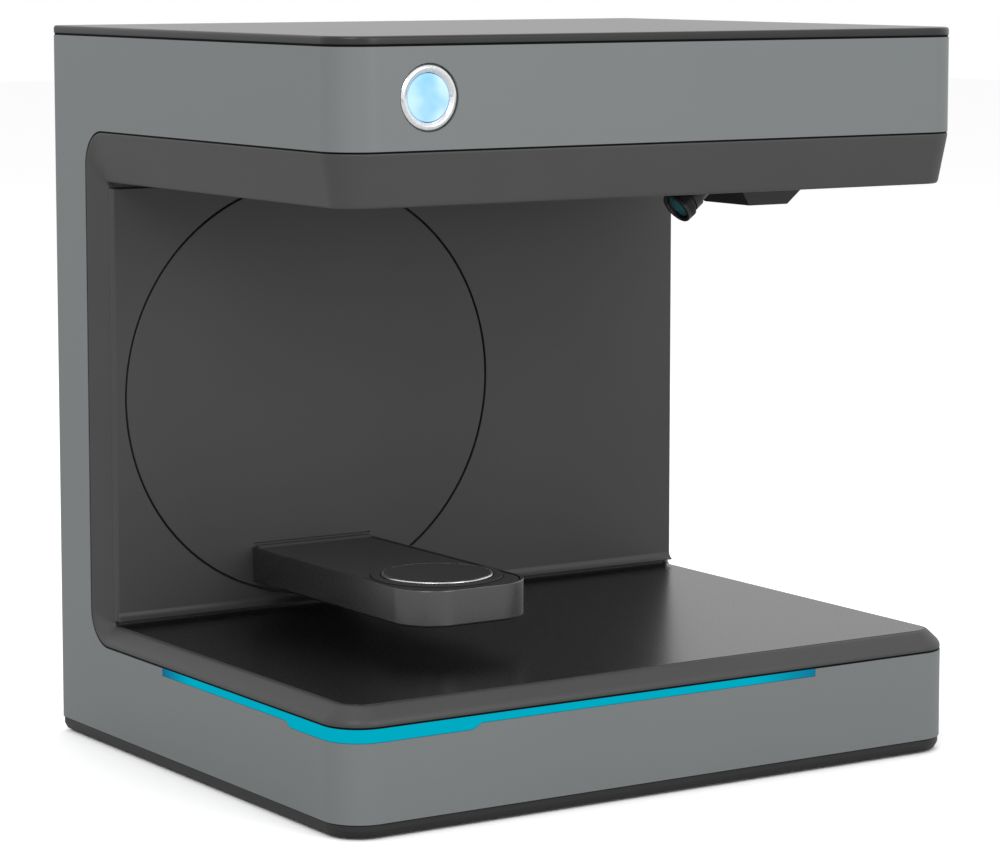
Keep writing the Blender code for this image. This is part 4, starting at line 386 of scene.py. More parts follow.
def bump(tree, shader, height, strength, distance):
    """Adds a bump in metres over any that the shader already has."""
    node = tree.nodes.new("ShaderNodeBump")
    node.inputs["Strength"].default_value = strength
    node.inputs["Distance"].default_value = distance
    tree.links.new(height, node.inputs["Height"])
    if shader.inputs["Normal"].is_linked:
        tree.links.new(shader.inputs["Normal"].links[0].from_socket, node.inputs["Normal"])
    tree.links.new(node.outputs["Normal"], shader.inputs["Normal"])


def tinted(colour, share):
    """A colour made darker or lighter alike in its three channels."""
    return tuple(channel * share for channel in colour)


def moulded(
    name, colour, roughness, grain=2600, grain_depth=GRAIN, grain_strength=0.25, tone=0.06, specular=0.5
):
    """Painted or moulded plastic: fine grain, slow tone and gloss changes."""
    material, tree, shader = new_material(name)
    slow = noise(tree, SLOW_TONE, 3)
    fine = noise(tree, grain, 2, 0.6)
    darker, lighter = tinted(colour, 1 - tone), tinted(colour, 1 + tone)
    colour_out = blend_colours(tree, spread(tree, slow, 0, 1), darker, lighter)
    tree.links.new(colour_out, shader.inputs["Base Color"])
    gloss = spread(tree, fine, roughness - GLOSS_CHANGE, roughness + GLOSS_CHANGE)
    tree.links.new(gloss, shader.inputs["Roughness"])
    shader.inputs["Specular IOR Level"].default_value = specular
    bump(tree, shader, fine, grain_strength, grain_depth)
    return material


def metal(name, colour, roughness, brushed=None, grain=900):
    """Bare metal with a faint brushed or turned grain."""
    material, tree, shader = new_material(name)
    fine = noise(tree, grain, 3, 0.6, brushed)
    tone = blend_colours(tree, spread(tree, fine, 0, 1), tinted(colour, 0.9), tinted(colour, 1.06))
    tree.links.new(tone, shader.inputs["Base Color"])
    tree.links.new(spread(tree, fine, roughness - 0.05, roughness + 0.06), shader.inputs["Roughness"])
    shader.inputs["Metallic"].default_value = 1.0
    bump(tree, shader, fine, 0.1, GRAIN)
    return material


def make_materials():
    return {
        "shell_grey": moulded("shell_grey", (0.188, 0.204, 0.208), 0.42, 1500, FINE_GRAIN, 0.12, 0.012),
        "liner_dark": moulded("liner_dark", (0.050, 0.049, 0.049), 0.46, 1500, 0.00005, 0.45, 0.05),
        "deck_black": moulded("deck_black", (0.005, 0.005, 0.005), 0.28, 2200, GRAIN, 0.2, 0.08),
        "lid_dark": moulded("lid_dark", (0.012, 0.012, 0.012), 0.32, 2200, FINE_GRAIN, 0.1, 0.04),
        "pan_black": moulded("pan_black", (0.012, 0.012, 0.012), 0.45, 2200, GRAIN, 0.2, 0.05),
        "foot_rubber": moulded("foot_rubber", (0.012, 0.012, 0.012), 0.85, 1800, 0.00004, 0.4, 0.1),
        "status_chrome": metal("status_chrome", (0.80, 0.81, 0.83), 0.12),
        "status_blue": lit("status_blue", (0.16, 0.38, 0.60), (0.46, 0.60, 0.68)),
        "light_cyan": light_strip_material(),
        "arm_gloss": arm_gloss_material(),
        "arm_texture": moulded("arm_texture", (0.045, 0.045, 0.045), 0.6, 1600, 0.00006, 0.6, 0.08, 0.4),
        "table_metal": metal("table_metal", (0.70, 0.70, 0.71), 0.28),
        "steel": metal("steel", (0.52, 0.53, 0.54), 0.30),
        "sheet_steel": metal("sheet_steel", (0.42, 0.43, 0.44), 0.42, (1, 1, 0.05)),
        "aluminium": metal("aluminium", (0.66, 0.67, 0.68), 0.34, (0.1, 1, 1)),
        "black_metal": moulded("black_metal", (0.014, 0.014, 0.015), 0.38, 2600, FINE_GRAIN, 0.15, 0.1),
        "lens_glass": lens_material(),
        "black_plastic": moulded("black_plastic", (0.017, 0.017, 0.017), 0.48, 1800, 0.00003, 0.3, 0.08),
        # Near-black for the sheets that paint shadow into the gaps under the lid and round the liner
        "painted_seam_shadow": moulded("painted_seam_shadow", (0.002, 0.002, 0.002), 0.7, 1800, GRAIN, 0.2, 0.1, 0.1),
        "belt_rubber": moulded("belt_rubber", (0.014, 0.014, 0.014), 0.8, 1500, 0.00004, 0.4, 0.1),
        "board_green": moulded("board_green", (0.015, 0.10, 0.045), 0.35, 600, GRAIN, 0.2, 0.25),
        "supply_metal": metal("supply_metal", (0.50, 0.50, 0.50), 0.38, (1, 0.1, 1)),
    }


def lit(name, deep, pale):
    """A lit diffuser: two close tones in soft patches, with a glossy face."""
    material, tree, shader = new_material(name)
    slow = noise(tree, 60, 2)
    colour = blend_colours(tree, spread(tree, slow, 0, 1), deep, pale)
    tree.links.new(colour, shader.inputs["Base Color"])
    tree.links.new(colour, shader.inputs["Emission Color"])
    shader.inputs["Emission Strength"].default_value = 0.8
    shader.inputs["Roughness"].default_value = 0.2
    return material


def light_strip_material():
    """The lit strip: cyan, fading to a deeper blue at its two ends. The fades' places are in metres."""
    left_fade, right_fade = (0.004, 0.028), (0.050, 0.090)
    middle_colour, end_colour = (0.0, 0.385, 0.52), (0.006, 0.14, 0.27)
    glow, unlit_share = 0.91, 0.85
    material, tree, shader = new_material("light_cyan")
    coordinates = tree.nodes.new("ShaderNodeTexCoord")
    split = tree.nodes.new("ShaderNodeSeparateXYZ")
    tree.links.new(coordinates.outputs["Object"], split.inputs["Vector"])
    left_end = spread(tree, split.outputs["Y"], 0, 1, *left_fade)
    right_end = spread(tree, split.outputs["X"], 0, 1, *right_fade)
    ends = tree.nodes.new("ShaderNodeMath")
    ends.operation = "MAXIMUM"
    tree.links.new(left_end, ends.inputs[0])
    tree.links.new(right_end, ends.inputs[1])
    colour = blend_colours(tree, ends.outputs["Value"], middle_colour, end_colour)
    fine = noise(tree, 900, 2)
    tree.links.new(colour, shader.inputs["Emission Color"])
    shader.inputs["Emission Strength"].default_value = glow
    dim = tree.nodes.new("ShaderNodeMix")
    dim.data_type = "RGBA"
    dim.inputs["Factor"].default_value = unlit_share
    dim.inputs["B"].default_value = (0, 0, 0, 1)
    tree.links.new(colour, dim.inputs["A"])
    tree.links.new(dim.outputs["Result"], shader.inputs["Base Color"])
    tree.links.new(spread(tree, fine, 0.35, 0.5), shader.inputs["Roughness"])
    shader.inputs["Specular IOR Level"].default_value = 0.0
    return material


def arm_gloss_material():
    """Dark metallic paint with a clear gloss."""
    material, tree, shader = new_material("arm_gloss")
    fine = noise(tree, 3000, 2, 0.6)
    darker, lighter = (0.098, 0.098, 0.100), (0.138, 0.138, 0.141)
    colour = blend_colours(tree, spread(tree, fine, 0, 1), darker, lighter)
    tree.links.new(colour, shader.inputs["Base Color"])
    tree.links.new(spread(tree, fine, 0.22, 0.28), shader.inputs["Roughness"])
    shader.inputs["Metallic"].default_value = 0.85
    bump(tree, shader, fine, 0.05, FINE_GRAIN)
    return material


def lens_material():
    """Coated glass: deep teal in soft patches, under a clear gloss."""
    material, tree, shader = new_material("lens_glass")
    slow = noise(tree, 160, 1)
    colour = blend_colours(tree, spread(tree, slow, 0, 1), (0.004, 0.075, 0.085), (0.02, 0.19, 0.20))
    tree.links.new(colour, shader.inputs["Base Color"])
    shader.inputs["Roughness"].default_value = 0.04
    shader.inputs["Coat Weight"].default_value = 1.0
    shader.inputs["Coat Roughness"].default_value = 0.02
    return material


def dress(item, material, body, replaced=()):
    """Gives a piece its material, the body it rides on and the CAD nodes it stands for."""
    item.data.materials.clear()
    item.data.materials.append(MATERIALS[material])
    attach(item, body)
    if replaced:
        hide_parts(*replaced)
    return item


# Housing

def bay_outline(back, low, high, radius, steps=CORNER_STEPS):
    """The bay seen from the side, as (y, z) points open to the front."""
    points = [(FRONT - CUT, high), (FRONT - CUT, low)]
    for centre_z, quarter in ((low + radius, 3), (high - radius, 0)):
        for step in range(steps + 1):
            angle = (quarter + step / steps) * math.pi / 2
            points.append((back - radius + radius * math.cos(angle), centre_z + radius * math.sin(angle)))
    return points


def rear_outline(grow):
    """The rear panel's recess, grown on every side, as (x, z) points."""
    radius = REAR_CORNER + grow
    left, right, bottom, top = REAR_LEFT - grow, REAR_RIGHT + grow, REAR_BOTTOM - grow, REAR_TOP + grow
    return rounded(left, right, bottom, top, radius, radius, 8)


def light_sections(grow):
    """Cross-sections of the light strip from the left side, round the corner, to the front."""
    outside = CUT if grow else 0
    depth = 2 * SHELL_WALL if grow else LIGHT_DEPTH
    thin = BASE_BAND_TOP - LIGHT_THIN - grow
    wide = BASE_BAND_TOP - LIGHT_WIDE - grow
    left = math.pi
    front = math.pi * 1.5
    ramp_shares = ((0.0, 0.0), (0.12, 0.04), (0.3, 0.22), (0.7, 0.78), (0.88, 0.96), (1.0, 1.0))
    stations = [(LEFT, LIGHT_LEFT_END + grow, left, thin)]
    for along, down in ramp_shares:
        stations.append((LEFT, LIGHT_LEFT_STEP - LIGHT_LEFT_RAMP * along, left, thin + (wide - thin) * down))
    for step in range(CORNER_STEPS + 1):
        angle = math.pi + step / CORNER_STEPS * math.pi / 2
        x = LEFT + FRONT_CORNER * (1 + math.cos(angle))
        y = FRONT + FRONT_CORNER * (1 + math.sin(angle))
        stations.append((x, y, angle, wide))
    for along, down in ramp_shares:
        x = LIGHT_FRONT_STEP + LIGHT_FRONT_RAMP * along
        stations.append((x, FRONT, front, wide + (thin - wide) * down))
    stations.append((LIGHT_FRONT_END + grow, FRONT, front, thin))
    top = BASE_BAND_TOP + outside
    sections = []
    for x, y, angle, bottom in stations:
        out = Vector((math.cos(angle), math.sin(angle), 0))
        outer, inner = Vector((x, y, 0)) + out * outside, Vector((x, y, 0)) - out * depth
        corners = ((outer, top), (outer, bottom), (inner, bottom), (inner, top))
        sections.append([(point.x, point.y, level) for point, level in corners])
    return sections


def make_shell():
    """The grey shell: head, column and base in one, with the cuts for bay, rear panel and lights."""
    shell = loft("shell", [plan(0, SHELL_BOTTOM), plan(0, HEAD_TOP)])
    bay = bay_outline(COLUMN_FRONT, BASE_BAND_TOP, HEAD_BOTTOM, BAY_CORNER)
    clearance = 0.3
    seat = plug("seat", STATUS_SEAT_RADIUS, STATUS_SEAT_DEPTH)
    bore = plug("bore", STATUS_BORE_RADIUS, CUT)
    carve(shell, [
        loft("inside", [plan(SHELL_WALL, -CUT), plan(SHELL_WALL, TOP + CUT)]),
        prism("bay", bay, "X", LEFT - CUT, RIGHT + CUT),
        prism("rebate", rear_outline(clearance), "Y", BACK - REAR_REBATE, BACK + CUT),
        prism("window", rear_outline(-REAR_LEDGE), "Y", BACK - CUT, BACK + CUT),
        loft("light_slot", light_sections(clearance)),
        facing_front(seat, STATUS_X, FRONT, STATUS_Z),
        facing_front(bore, STATUS_X, FRONT, STATUS_Z),
    ])
    soften(shell, 0.45, 3)
    return dress(smooth(shell), "shell_grey", "housing", ["outer_shell"])


def band_loop(head, column, base, radius):
    """One closed loop round the liner: each of head, column and base is (inset, level or depth)."""
    head_inset, head_z = head
    column_inset, column_y = column
    base_inset, base_z = base

    def eased(share):
        return share * share * (3 - 2 * share)

    def turn(side, centre_z, start, end, far_inset):
        points = []
        for step in range(CORNER_STEPS + 1):
            share = step / CORNER_STEPS
            angle = math.radians(start + (end - start) * share)
            from_column = share if abs(start) < 1 else 1 - share
            inset = column_inset + (far_inset - column_inset) * eased(from_column)
            x = LEFT + inset if side < 0 else RIGHT - inset
            y = column_y - radius + radius * math.cos(angle)
            points.append((x, y, centre_z + radius * math.sin(angle)))
        return points

    def front(inset, level, backwards):
        corner = max(FRONT_CORNER - inset, 0.3)
        points = []
        for x, quarter in ((LEFT + inset + corner, 2), (RIGHT - inset - corner, 3)):
            for step in range(CORNER_STEPS + 1):
                angle = (quarter + step / CORNER_STEPS) * math.pi / 2
                y = FRONT + inset + corner + corner * math.sin(angle)
                points.append((x + corner * math.cos(angle), y, level))
        return points[::-1] if backwards else points

    high, low = head_z - radius, base_z + radius
    loop = turn(-1, high, 0, 90, head_inset)
    loop += front(head_inset, head_z, False)
    loop += turn(1, high, 90, 0, head_inset)
    loop += turn(1, low, 0, -90, base_inset)
    loop += front(base_inset, base_z, True)
    loop += turn(-1, low, -90, 0, base_inset)
    return loop


def make_liner():
    """The dark moulding: one smooth band for skirt, column sides and rim, then what lies behind its edge."""
    top, low, side = HEAD_BOTTOM - LINER_SEAM, BASE_BAND_TOP + LINER_SEAM, COLUMN_FRONT - LINER_SEAM
    sections = [
        ((3.3, top + 6), (3.3, side + 6), (3.3, low - 7), 21),
        ((3.3, top), (3.3, side), (3.3, low), 16.2),
        ((0.7, top), (0.7, side), (0.7, low), 16.2),
        ((0.20, top - 0.12), (0.20, side - 0.1), (0.25, low + 0.1), 16.1),
        ((0.05, top - 0.5), (0.05, side - 0.5), (0.08, low + 0.4), 15.8),
        ((0.12, top - 1.0), (0.09, side - 1.0), (0.12, low + 1.4), 15.4),
        ((0.68, top - 4.1), (0.92, side - 2.2), (0.50, low + 2.5), 13.6),
        ((1.45, top - 8.2), (2.00, side - 3.9), (1.35, low + 3.7), 11.3),
        ((4.00, SKIRT_BOTTOM + 1.7), (5.60, LINER_FACE + 1.8), (5.20, DECK_TOP - 1.35), 3.6),
        ((4.25, SKIRT_BOTTOM + 0.85), (5.80, LINER_FACE + 0.9), (5.85, DECK_TOP - 0.8), 3.0),
        ((4.65, SKIRT_BOTTOM + 0.25), (6.10, LINER_FACE + 0.3), (6.50, DECK_TOP - 0.4), 2.6),
        ((5.25, SKIRT_BOTTOM), (6.60, LINER_FACE), (7.15, DECK_TOP - 0.25), 2.4),
        ((6.40, SKIRT_BOTTOM), (8.20, LINER_FACE), (DECK_BORDER, DECK_TOP - 0.3), 2.0),
        ((6.65, SKIRT_BOTTOM + 0.3), (8.60, LINER_FACE + 0.2), (DECK_BORDER + 0.05, DECK_TOP - 0.5), 1.9),
        ((6.65, UNDERSIDE + 1.5), (10.2, LINER_FACE + 3.6), (DECK_BORDER + 0.1, DECK_TOP - 2.6), 1.5),
    ]
    band = loft("liner", [band_loop(*section) for section in sections], closed=True)
    ceiling_inset, ceiling_thickness = 6.6, 2.5
    ceiling = loft("ceiling", [
        plan(ceiling_inset, UNDERSIDE, LINER_FACE),
        plan(ceiling_inset, UNDERSIDE + ceiling_thickness, LINER_FACE),
    ])
    window_front, window_back = TABLE_Y - WINDOW_HALF_DEPTH, TABLE_Y + WINDOW_HALF_DEPTH
    window = rounded(WINDOW_LEFT, WINDOW_RIGHT, window_front, window_back, 3, 3, 8)
    carve(ceiling, [prism("window", window, "Z", 250, 290)])
    soften(ceiling, 0.4, 2)
    wall_inset, wall_thickness = 8.5, 2.5
    wall_low = (LEFT + wall_inset, LINER_FACE, DECK_TOP - 3)
    wall_high = (RIGHT - wall_inset, LINER_FACE + wall_thickness, UNDERSIDE + 2)
    wall = block("wall", wall_low, wall_high)
    hub = plug("hub", HUB_RADIUS, 2 * CUT, -2 * CUT)
    carve(wall, [facing_front(hub, SWING_X, LINER_FACE, SWING_Z)])
    tray = loft("tray", [
        plan(DECK_BORDER, DECK_TOP - 4.9, LINER_FACE),
        plan(DECK_BORDER, DECK_TOP - 2.4, LINER_FACE),
    ])
    liner = join_meshes("liner", [band, ceiling, wall, tray])
    return dress(smooth(liner, 40), "liner_dark", "housing", ["bay_liner"])


def make_panel():
    """The bay's back wall: rounded side edges and a foot that runs out forwards above the deck."""
    side, low, high = RIGHT - 6.0, DECK_TOP + 2.35, SKIRT_BOTTOM - 3.0
    edge_rounding = (
        (1.8, PANEL_FRONT), (0.95, PANEL_FRONT + 0.22), (0.3, PANEL_FRONT + 0.85), (0.0, PANEL_FRONT + 1.7),
        (0.0, PANEL_BACK),
    )
    rings = []
    for inset, y in edge_rounding:
        reach, bottom, top = side - inset, low + inset / 3, high - inset / 4
        rings.append([(-reach, y, bottom), (reach, y, bottom), (reach, y, top), (-reach, y, top)])
    panel = loft("panel", rings)
    hole = plug("hole", DISC_RADIUS + DISC_SEAM, CUT, steps=DISC_STEPS)
    carve(panel, [facing_front(hole, SWING_X, PANEL_FRONT, SWING_Z)])
    foot_profile = [
        (PANEL_FRONT + 0.02, low + 4.0), (PANEL_FRONT - 0.15, low + 2.9), (PANEL_FRONT - 0.6, low + 1.9),
        (PANEL_FRONT - 1.35, low + 1.15), (PANEL_FRONT - 2.1, low + 0.8), (PANEL_FRONT - 2.35, low + 0.55),
        (PANEL_FRONT - 2.3, low + 0.2), (PANEL_FRONT - 1.9, low), (PANEL_FRONT + 1.5, low),
        (PANEL_FRONT + 1.5, low + 4.0),
    ]
    foot = prism("foot", foot_profile, "X", -side + 0.9, side - 0.9)
    panel = join_meshes("panel", [panel, foot])
    return dress(smooth(panel, 38), "liner_dark", "housing", ["back_panel"])


def make_deck():
    rings = [
        plan(DECK_BORDER, DECK_TOP - 2.2, LINER_FACE - 0.2),
        plan(DECK_BORDER, DECK_TOP - 0.35, LINER_FACE - 0.2),
        plan(DECK_BORDER + 0.12, DECK_TOP - 0.12, LINER_FACE - 0.3),
        plan(DECK_BORDER + 0.4, DECK_TOP, LINER_FACE - 0.4),
    ]
    return dress(smooth(loft("deck", rings)), "deck_black", "housing", ["bay_deck"])


def make_seam_shadows():
    """Painted shadow: near-black sheets in the gaps under the lid and between shell and liner, a little
    behind their faces, that darken these gaps.
    """
    inset, depth, lap = 0.38, 1.6, 0.3
    under_lid, over_lid = HEAD_TOP - lap, HEAD_TOP + 1.05
    lid_seam_shadow = loft("lid_seam_shadow", [
        plan(inset, under_lid), plan(inset, over_lid), plan(depth, over_lid), plan(depth, under_lid),
    ], closed=True)
    top, low, side = HEAD_BOTTOM - LINER_SEAM, BASE_BAND_TOP + LINER_SEAM, COLUMN_FRONT - LINER_SEAM
    shell_edge = (HEAD_BOTTOM + lap, COLUMN_FRONT + lap, BASE_BAND_TOP - lap)
    liner_edge = (top - lap, side - lap, low + lap)
    corners = ((inset, shell_edge), (inset, liner_edge), (depth, liner_edge), (depth, shell_edge))
    rings = []
    for drawn_in, edge in corners:
        head, column, base = [(drawn_in, place) for place in edge]
        rings.append(band_loop(head, column, base, 16.5))
    liner_seam_shadow = loft("liner_seam_shadow", rings, closed=True)
    seam_shadows = join_meshes("seam_shadows", [lid_seam_shadow, liner_seam_shadow])
    # The sheets carry painted shadow, not a dark colour of the joints themselves
    return dress(smooth(seam_shadows), "painted_seam_shadow", "housing")


def make_lid():
    """The lid plate with its rounded edge, over a neck that leaves a shadow groove above the shell."""
    neck_inset, lip_inset, groove = 3.4, 1.2, 0.3
    rings = [
        plan(neck_inset, HEAD_TOP - 4), plan(neck_inset, HEAD_TOP + groove),
        plan(lip_inset, HEAD_TOP + groove), plan(lip_inset, HEAD_TOP + 0.95),
        plan(0.25, HEAD_TOP + 0.95), plan(0.07, HEAD_TOP + 1.05),
        plan(0.0, HEAD_TOP + 1.25), plan(0.0, TOP - 1.3), plan(0.1, TOP - 0.8), plan(0.38, TOP - 0.38),
        plan(0.8, TOP - 0.1), plan(1.3, TOP),
    ]
    lid = loft("lid", rings)
    wall, roof = 6, 3
    carve(lid, [loft("inside", [plan(wall, HEAD_TOP - CUT), plan(wall, TOP - roof)])])
    return dress(smooth(lid), "lid_dark", "housing", ["top_lid"])


def make_pan():
    """The dark pan under the base band, with its chamfered bottom edge and a neck inside the shell."""
    wall, floor_top = 5.5, 3.7
    rings = [
        plan(2.6, 1.2), plan(2.2, 1.2), plan(1.95, 1.4), plan(0.72, 3.7), plan(0.62, 3.95), plan(0.6, 4.3),
        plan(0.6, PAN_TOP - 0.3), plan(0.85, PAN_TOP), plan(3.3, PAN_TOP), plan(3.3, PAN_TOP + 5.5),
    ]
    pan = loft("pan", rings)
    carve(pan, [loft("inside", [plan(wall, floor_top), plan(wall, 30)])])
    return dress(smooth(pan), "pan_black", "housing", ["base_pan"])


def make_light_strip():
    strip = loft("light_strip", light_sections(0))
    return dress(smooth(strip, 40), "light_cyan", "housing", ["light_guide"])


def make_status_light():
    inside, outside = STATUS_RING_INSIDE, STATUS_RING_OUTSIDE
    chamfer_depth = 0.9
    ring_profile = fillet([
        (inside, STATUS_RING_DEPTH), (inside, chamfer_depth), (inside + STATUS_RING_CHAMFER, 0.0),
        (outside - STATUS_RING_CHAMFER, 0.0), (outside, chamfer_depth), (outside, STATUS_RING_DEPTH),
    ], 0.6, 4)
    ring = turned("status_ring_fine", ring_profile, 128)
    settle(facing_front(ring, STATUS_X, FRONT, STATUS_Z))
    dress(smooth(ring, 50), "status_chrome", "housing", ["status_ring"])
    lens_profile = [
        (0, STATUS_LENS_BACK), (STATUS_LENS_RADIUS, STATUS_LENS_BACK), (STATUS_LENS_RADIUS, STATUS_LENS_EDGE),
    ]
    lens_profile += crown(STATUS_LENS_RADIUS, STATUS_LENS_EDGE, STATUS_LENS_CROWN)
    lens = turned("status_lens_fine", lens_profile)
    settle(facing_front(lens, STATUS_X, FRONT, STATUS_Z))
    dress(smooth(lens, 50), "status_blue", "housing", ["status_lens"])


# Swing disc, arm and turntable

def make_disc():
    thickness = 3.0
    profile = [
        (0, thickness), (DISC_RADIUS - 0.3, thickness), (DISC_RADIUS, thickness - 0.3), (DISC_RADIUS, 0.5),
        (DISC_RADIUS - 0.15, 0.15), (DISC_RADIUS - 0.5, 0), (0, 0),
    ]
    disc = turned("disc", profile, DISC_STEPS)
    settle(facing_front(disc, SWING_X, PANEL_FRONT, SWING_Z))
    slot_depth, slot_bottom, slot_top = 1.2, ARM_TOP + 1.45, ARM_TOP + 2.05
    slot_low = (SWING_X - ARM_HALF + 1, PANEL_FRONT - CUT, slot_bottom)
    slot_high = (SWING_X + ARM_HALF - 0.5, PANEL_FRONT + slot_depth, slot_top)
    carve(disc, [block("slot", slot_low, slot_high)])
    return dress(smooth(disc), "liner_dark", "swing_arm", ["swing_disc"])


def arm_ring(inset, level, back=ARM_BACK):
    """The arm's outline at a level, drawn in by inset."""
    left, right = SWING_X - ARM_HALF + inset, SWING_X + ARM_HALF - inset
    outline = rounded(left, right, ARM_FRONT + inset, back, max(ARM_CORNER - inset, 0.3), 0.4)
    return [(x, y, level) for x, y in outline]


def make_arm():
    rim_width, wall = 1.6, 4.0
    rings = [
        arm_ring(1.3, ARM_BOTTOM), arm_ring(0.5, ARM_BOTTOM + 0.18), arm_ring(0.12, ARM_BOTTOM + 0.6),
        arm_ring(0, ARM_BOTTOM + 1.2), arm_ring(0, ARM_TOP - 0.6), arm_ring(0.1, ARM_TOP - 0.25),
        arm_ring(0.3, ARM_TOP - 0.05), arm_ring(0.55, ARM_TOP), arm_ring(1.3, ARM_TOP),
        arm_ring(rim_width - 0.05, ARM_TOP - 0.2), arm_ring(rim_width, ARM_TOP - 3),
        arm_ring(wall, ARM_TOP - 3), arm_ring(wall, ARM_BOTTOM + 2),
    ]
    band = loft("arm_band", rings)
    dress(smooth(band, 50), "arm_gloss", "swing_arm", ["arm_shell"])
    cover_back = ARM_BACK - 0.8
    cover = loft("arm_cover_fine", [
        arm_ring(COVER_GAP, COVER_TOP - 2.4, cover_back), arm_ring(COVER_GAP, COVER_TOP - 0.35, cover_back),
        arm_ring(COVER_GAP + 0.1, COVER_TOP - 0.1, cover_back - 0.1),
        arm_ring(COVER_GAP + 0.4, COVER_TOP, cover_back - 0.4),
    ])
    groove_inside, groove_outside, groove_depth = RING_RADIUS - 0.05, RING_RADIUS + 0.35, 0.8
    groove = turned("groove", [
        (groove_inside, 1), (groove_outside, 1),
        (groove_outside, -groove_depth), (groove_inside, -groove_depth),
    ], TABLE_STEPS)
    hole = plug("hole", TABLE_HOLE_RADIUS, CUT)
    carve(cover, [at(cutter, SWING_X, TABLE_Y, COVER_TOP) for cutter in (hole, groove)])
    ledge_low = (SWING_X - ARM_HALF + rim_width, ARM_BACK - 3.6, COVER_TOP - 2)
    ledge_high = (SWING_X + ARM_HALF - rim_width, ARM_BACK + 0.1, COVER_TOP + 1.2)
    ledge = block("ledge", ledge_low, ledge_high, 0.3)
    cover = join_meshes("arm_cover_fine", [cover, ledge])
    dress(smooth(cover, 40), "arm_texture", "swing_arm", ["arm_cover"])


def table_piece(name, profile, material, body, node, rounding=0):
    """A turned piece of the turntable, whose heights count from the turntable's underside."""
    raised = [(radius, TABLE_BOTTOM + height) for radius, height in profile]
    if rounding:
        raised = fillet(raised, rounding, 3)
    piece = settle(at(turned(name, raised, TABLE_STEPS), SWING_X, TABLE_Y, 0))
    dress(smooth(piece, 40), material, body, [node])


def make_turntable():
    square_ring = [(RING_INSIDE, 0), (RING_INSIDE, RING_HEIGHT), (RING_RADIUS, RING_HEIGHT), (RING_RADIUS, 0)]
    table_piece("table_ring_fine", square_ring, "arm_texture", "swing_arm", "table_ring", rounding=0.25)
    height = TABLE_TOP - TABLE_BOTTOM
    seat_height, lip_inside = 0.85, 24.5
    table_piece("turntable_plate_fine", [
        (0, seat_height), (lip_inside, seat_height), (lip_inside, height), (TABLE_RADIUS - 0.8, height),
        (TABLE_RADIUS - 0.35, height - 0.15), (TABLE_RADIUS - 0.05, height - 0.5), (TABLE_RADIUS, 0.5),
        (TABLE_RADIUS - 0.2, 0.1), (TABLE_RADIUS - 0.6, 0), (0, 0),
    ], "table_metal", "turntable", "turntable_plate")
    pad_bottom = seat_height + 0.05
    table_piece("turntable_pad_fine", [
        (0, height), (PAD_RADIUS - 0.35, height), (PAD_RADIUS - 0.05, height - 0.1),
        (PAD_RADIUS, height - 0.3), (PAD_RADIUS, pad_bottom), (0, pad_bottom),
    ], "arm_texture", "turntable", "turntable_pad")


# Optics

def optic_matrix(side):
    """The place of a lens's front, with local +Z running back along its axis."""
    x, z = LENS_FRONTS[side]
    lean = math.atan2(x - AIM[0], z - AIM[1])
    return Matrix.Translation(Vector((x, TABLE_Y, z)) * MM) @ Matrix.Rotation(lean, 4, "Y")


def make_lens(side):
    """A lens: front ring, ribbed focus ring, groove and barrel, with its glass a little behind the front."""
    rib_start, rib_pitch, rib_depth = 2.1, 0.6, 0.2
    front = [
        (0, 2.35), (LENS_BORE_RADIUS, 2.35), (LENS_BORE_RADIUS, 1.0), (6.5, 0.35), (7.0, 0.0), (7.5, 0.0),
        (8.0, 0.25), (LENS_RADIUS, 0.8), (LENS_RADIUS, 1.9),
    ]
    ribs = []
    for rib in range(5):
        start = rib_start + rib * rib_pitch
        ribs += [(LENS_RADIUS - rib_depth, start), (LENS_RADIUS - rib_depth, start + 0.2)]
        ribs += [(LENS_RADIUS, start + 0.32), (LENS_RADIUS, start + 0.5)]
    rear = [
        (LENS_RADIUS, 5.3), (7.9, 5.6), (LENS_GROOVE_RADIUS, 5.6), (LENS_GROOVE_RADIUS, 7.1), (7.0, 7.15),
        (LENS_BODY_RADIUS, 7.35), (LENS_BODY_RADIUS, 11.8), (6.9, 12.1), (LENS_BORE_RADIUS, 12.1),
        (LENS_BORE_RADIUS, 32.1), (0, 32.1),
    ]
    barrel = turned(f"camera_{side}_barrel", front + ribs + rear)
    barrel.matrix_world = optic_matrix(side)
    settle(barrel)
    dress(smooth(barrel, 40), "black_metal", "housing", [f"camera_{side}_lens"])
    glass_profile = [(0, 2.1), (GLASS_RADIUS, 2.1), (GLASS_RADIUS, GLASS_EDGE)]
    for step in range(1, 9):
        share = step / 8
        level = GLASS_EDGE - GLASS_CROWN * math.sin(share * math.pi / 2)
        glass_profile.append((GLASS_RADIUS * (1 - share), level))
    glass = turned(f"camera_{side}_front_glass", glass_profile, 64)
    glass.matrix_world = optic_matrix(side)
    settle(glass)
    dress(smooth(glass, 40), "lens_glass", "housing", [f"camera_{side}_glass"])


def make_hood():
    """The hood as a faceted shell, open upwards, with a hole where the right lens comes through."""
    low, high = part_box("optics_hood")
    top, bottom = high[2] / MM, low[2] / MM
    middle = (low[0] + high[0]) / 2 / MM
    wall = 1.6

    def outline(level, half_width, half_depth):
        left, right = middle - half_width, middle + half_width
        front, back = TABLE_Y - half_depth, TABLE_Y + half_depth
        return [(left, front, level), (right, front, level), (right, back, level), (left, back, level)]

    hood = loft("hood", [outline(bottom, 11.4, 18), outline(top, 25.9, 24)])
    inner = loft("inner", [outline(bottom + wall, 11.2, 18 - wall), outline(top + wall, 25.9, 24 - wall)])
    neck = plug("neck", 7.4, 84, 0)
    neck.matrix_world = optic_matrix("right")
    settle(neck)
    carve(hood, [inner, neck])
    soften(hood, 0.35, 2)
    return dress(smooth(hood), "black_plastic", "housing", ["optics_hood"])


# Everything that keeps its CAD mesh

